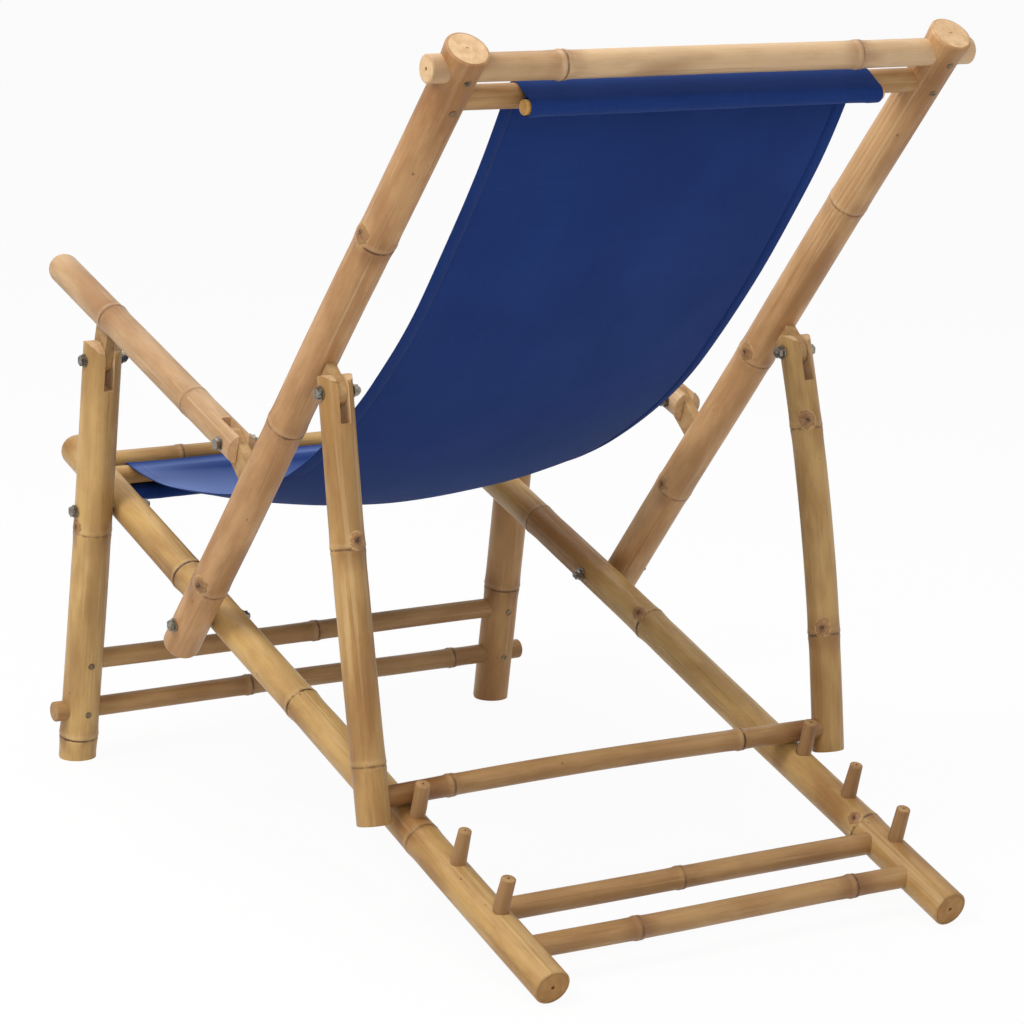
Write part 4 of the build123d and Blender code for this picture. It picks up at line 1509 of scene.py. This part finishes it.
    def build(self) -> None:
        """Weave the sheet, fold its hems and sew them."""
        self.trace()
        profile = self.profile()
        points: list[tuple[float, float, float]] = []
        cloth: list[float] = []
        for along in self.marks:
            middle, normal = self.frame_at(along)
            for x, lift, flat in profile:
                lifted = middle + normal * (lift + self.ripple(along, x))
                points.append((x, lifted.y, lifted.z))
                cloth += (along, flat, 0.0)
        columns = len(profile)
        starts = [row * columns + column for row in range(len(self.marks) - 1) for column in range(columns - 1)]
        mesh = bpy.data.meshes.new("canvas_sling")
        mesh.from_pydata(points, [], [(at, at + 1, at + columns + 1, at + columns) for at in starts])
        keep(mesh, {"cloth": cloth})
        mesh.shade_smooth()
        self.piece = set_out("canvas_sling", mesh)
        thick = self.piece.modifiers.new("thickness", "SOLIDIFY")
        thick.thickness = self.thickness
        thick.offset = 0.0
        bpy.context.view_layer.update()
        solid = bpy.data.meshes.new_from_object(self.piece.evaluated_get(bpy.context.evaluated_depsgraph_get()))
        self.piece.modifiers.clear()
        self.piece.data = solid
        self.mark_painted_sheen(solid)
        self.stitching = self.stitch()

    def mark_painted_sheen(self, mesh: bpy.types.Mesh) -> None:
        """Mark the sitter's side of the seat, where the cloth gets a painted sheen at flat angles.

        Args:
            mesh: the finished sheet, with its cloth coordinates.
        """
        rise, last, fall = 0.012, 0.58, 0.30
        marks = []
        for vertex, place in zip(mesh.vertices, mesh.attributes["cloth"].data):
            along = place.vector[0]
            share = self.free_share(along)
            free = unit(share / rise) * unit((last - share) / fall)
            marks.append(free * unit(2.0 * vertex.normal.dot(self.frame_at(along)[1])))
        # the seat mask places the canvas's painted sheen
        keep(mesh, {"seat": marks})

    def stitch_lines(self) -> list[list[tuple[float, float, float]]]:
        """Rows of stitches.

        Returns:
            For each row, points of along, across and lift.
        """
        pitch, side_lift, end_lift, end_inset, end_margin = 0.0042, 0.00085, 0.00075, 0.0030, 0.006
        edge = self.width / 2 - self.hem_width + 0.0025
        seat = self.spans["seat"]
        count = int((self.spans["back"] - seat) / pitch)
        rows = []
        for side in (1.0, -1.0):
            for lift in (side_lift, -side_lift):
                rows.append([(seat + pitch * (index + 0.5), side * edge, lift) for index in range(count)])
        across = int((self.width - 2 * end_margin) / pitch)
        for along in (self.spans["front_hem"] + end_inset, self.spans["top_hem"] - end_inset):
            rows.append([(along, (index + 0.5) * pitch - self.width / 2 + end_margin, end_lift)
                         for index in range(across)])
        return rows

    def stitch(self) -> bpy.types.Object:
        """Sew the hems.

        Returns:
            The stitches, as one piece.
        """
        reach, rise, half_wide, sunk = 0.36, 0.00035, 0.00038, 0.0004
        points: list[Vector] = []
        faces: list[tuple[int, ...]] = []
        cloth: list[float] = []
        for row in self.stitch_lines():
            for (along, x, lift), (next_along, next_x, _) in zip(row, row[1:]):
                side = 1 if lift > 0 else -1
                first, top, last = (
                    self.point(along + (next_along - along) * share, x + (next_x - x) * share, lift + high * side)
                    for share, high in ((0.5 - reach, 0.0), (0.5, rise), (0.5 + reach, 0.0)))
                normal = self.frame_at(along)[1]
                wide = (last - first).normalized().cross(normal).normalized() * half_wide
                foot = top - normal * (sunk * side)
                base = len(points)
                points += [first, last, foot + wide, foot - wide, top]
                faces += [(base + one, base + two, base + 4) for one, two in ((0, 2), (2, 1), (1, 3), (3, 0))]
                cloth += (along, x, 0.0) * 5
        mesh = bpy.data.meshes.new("sling_stitching")
        mesh.from_pydata(points, [], faces)
        keep(mesh, {"cloth": cloth})
        mesh.shade_smooth()
        return set_out("sling_stitching", mesh)

    def dress(self) -> list[bpy.types.Object]:
        """Give the sling and its stitching their cloth.

        Returns:
            The finished pieces.
        """
        for piece, finish in ((self.piece, CANVAS), (self.stitching, THREAD)):
            piece.data.materials.clear()
            piece.data.materials.append(SHELF.use(finish))
            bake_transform(piece)
        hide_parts("sling")
        return [self.piece, self.stitching]


@dataclass
class Fittings:
    """Tongues, dowels and fasteners that keep their solids' shapes."""

    pieces: dict[str, bpy.types.Object] = field(default_factory=dict)

    def build(self) -> None:
        """Take the solids that are still shown."""
        self.pieces = {name: node for name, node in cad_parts.items() if not node.hide_render}

    def dress(self) -> list[bpy.types.Object]:
        """Give every shown solid its material.

        Returns:
            The finished pieces.
        """
        kinds = (("tongue", TONGUE), ("dowel", DOWEL), ("screws", SCREW), ("", STEEL))
        for name, piece in self.pieces.items():
            piece.data.materials.clear()
            piece.data.materials.append(SHELF.use(next(finish for word, finish in kinds if word in name)))
        return list(self.pieces.values())


@dataclass
class Studio:
    """Pale floor, soft light and the photograph's camera."""

    target: Vector = field(default_factory=lambda: Vector((0.00002, 0.05341, 0.34076)))
    azimuth: float = 147.574
    elevation: float = 12.53
    roll: float = 1.405
    distance: float = 3.56215
    lens: float = 123.876
    aim: Vector = spot(0.0, 0.4)
    world_strength: float = 0.40
    floor_reach: float = 14.0
    floor_glow: float = 0.94

    def camera(self) -> None:
        """Stand the camera where the photograph was taken."""
        turn, rise, roll = (math.radians(angle) for angle in (self.azimuth, self.elevation, self.roll))
        back = Vector((math.sin(turn) * math.cos(rise), -math.cos(turn) * math.cos(rise), math.sin(rise)))
        right = (-back).cross(Vector((0.0, 0.0, 1.0))).normalized()
        above = right.cross(-back)
        across = right * math.cos(roll) + above * math.sin(roll)
        upright = above * math.cos(roll) - right * math.sin(roll)
        data = bpy.data.cameras.new("camera")
        data.lens = self.lens
        data.sensor_width = 36.0
        data.clip_end = 50.0
        camera = set_out("camera", data)
        placed = Matrix((across, upright, back)).transposed().to_4x4()
        placed.translation = self.target + back * self.distance
        camera.matrix_world = placed
        bpy.context.scene.camera = camera

    def lamp(self, name: str, place: tuple[float, float, float], size: float, power: float,
             colour: Colour = (1.0, 1.0, 1.0)) -> None:
        """Hang a soft lamp that points at the chair.

        Args:
            name: its name.
            place: where it hangs.
            size: its width.
            power: its power in watts.
            colour: its colour.
        """
        data = bpy.data.lights.new(name, "AREA")
        data.shape = "DISK"
        data.size = size
        data.energy = power
        data.color = colour
        lamp = set_out(name, data)
        lamp.location = place
        lamp.rotation_mode = "QUATERNION"
        lamp.rotation_quaternion = (self.aim - Vector(place)).to_track_quat("-Z", "Y")

    def light(self) -> None:
        """Set the lamps and the white surroundings."""
        self.lamp("key", (2.5, 0.4, 3.0), 1.4, 82.0, (1.0, 0.985, 0.955))
        self.lamp("fill", (-2.4, 2.8, 1.8), 2.6, 11.0, (0.97, 0.985, 1.0))
        self.lamp("back", (1.4, 3.2, 2.2), 2.2, 32.0)
        self.lamp("top", (0.0, -0.6, 3.6), 2.4, 50.0)
        world = bpy.data.worlds.new("studio")
        bpy.context.scene.world = world
        world.use_nodes = True
        graph = Graph(world.node_tree)
        strength = graph.step(graph.seen(), 0.0, 1.0, self.world_strength, 1.0)
        graph.fill(graph.find("BACKGROUND"), Color=(1.0, 1.0, 1.0), Strength=strength)

    def floor(self) -> None:
        """Lay a pale floor that keeps a faint shadow."""
        far = self.floor_reach
        mesh = bpy.data.meshes.new("floor")
        mesh.from_pydata([(-far, -far, 0.0), (far, -far, 0.0), (far, far, 0.0), (-far, far, 0.0)], [], [(0, 1, 2, 3)])
        plane = set_out("floor", mesh)
        material = bpy.data.materials.new("floor")
        material.use_nodes = True
        graph = Graph(material.node_tree)
        shader = graph.fill(graph.find("BSDF_PRINCIPLED"), Base_Color=(0.80, 0.80, 0.80), Roughness=0.9,
                            Specular_IOR_Level=0.1)
        glow = graph.node("ShaderNodeEmission", Color=(1.0, 1.0, 1.0), Strength=1.0)
        both = graph.node("ShaderNodeMixShader")
        shown = (graph.times(graph.seen(), self.floor_glow), shader.outputs[0], glow.outputs[0])
        for socket, given in zip(both.inputs, shown):
            graph.feed(socket, given)
        graph.fill(graph.find("OUTPUT_MATERIAL"), Surface=both.outputs[0])
        mesh.materials.append(material)

    def build(self) -> None:
        """Set up the whole studio."""
        self.camera()
        self.light()
        self.floor()
        bpy.context.scene.view_settings.view_transform = "Standard"


def main() -> None:
    """Build and dress the whole chair, and report each piece."""
    logging.basicConfig(level=logging.INFO)
    bamboo = BambooFrame()
    for assembly in (bamboo, BranchScars(bamboo), Sling(), Fittings()):
        assembly.build()
        for piece in assembly.dress():
            LOG.info("%s: %s, %d faces", type(assembly).__name__, piece.name, len(piece.data.polygons))
    Studio().build()
    LOG.info("studio set up")


if __name__ == "__main__":
    main()
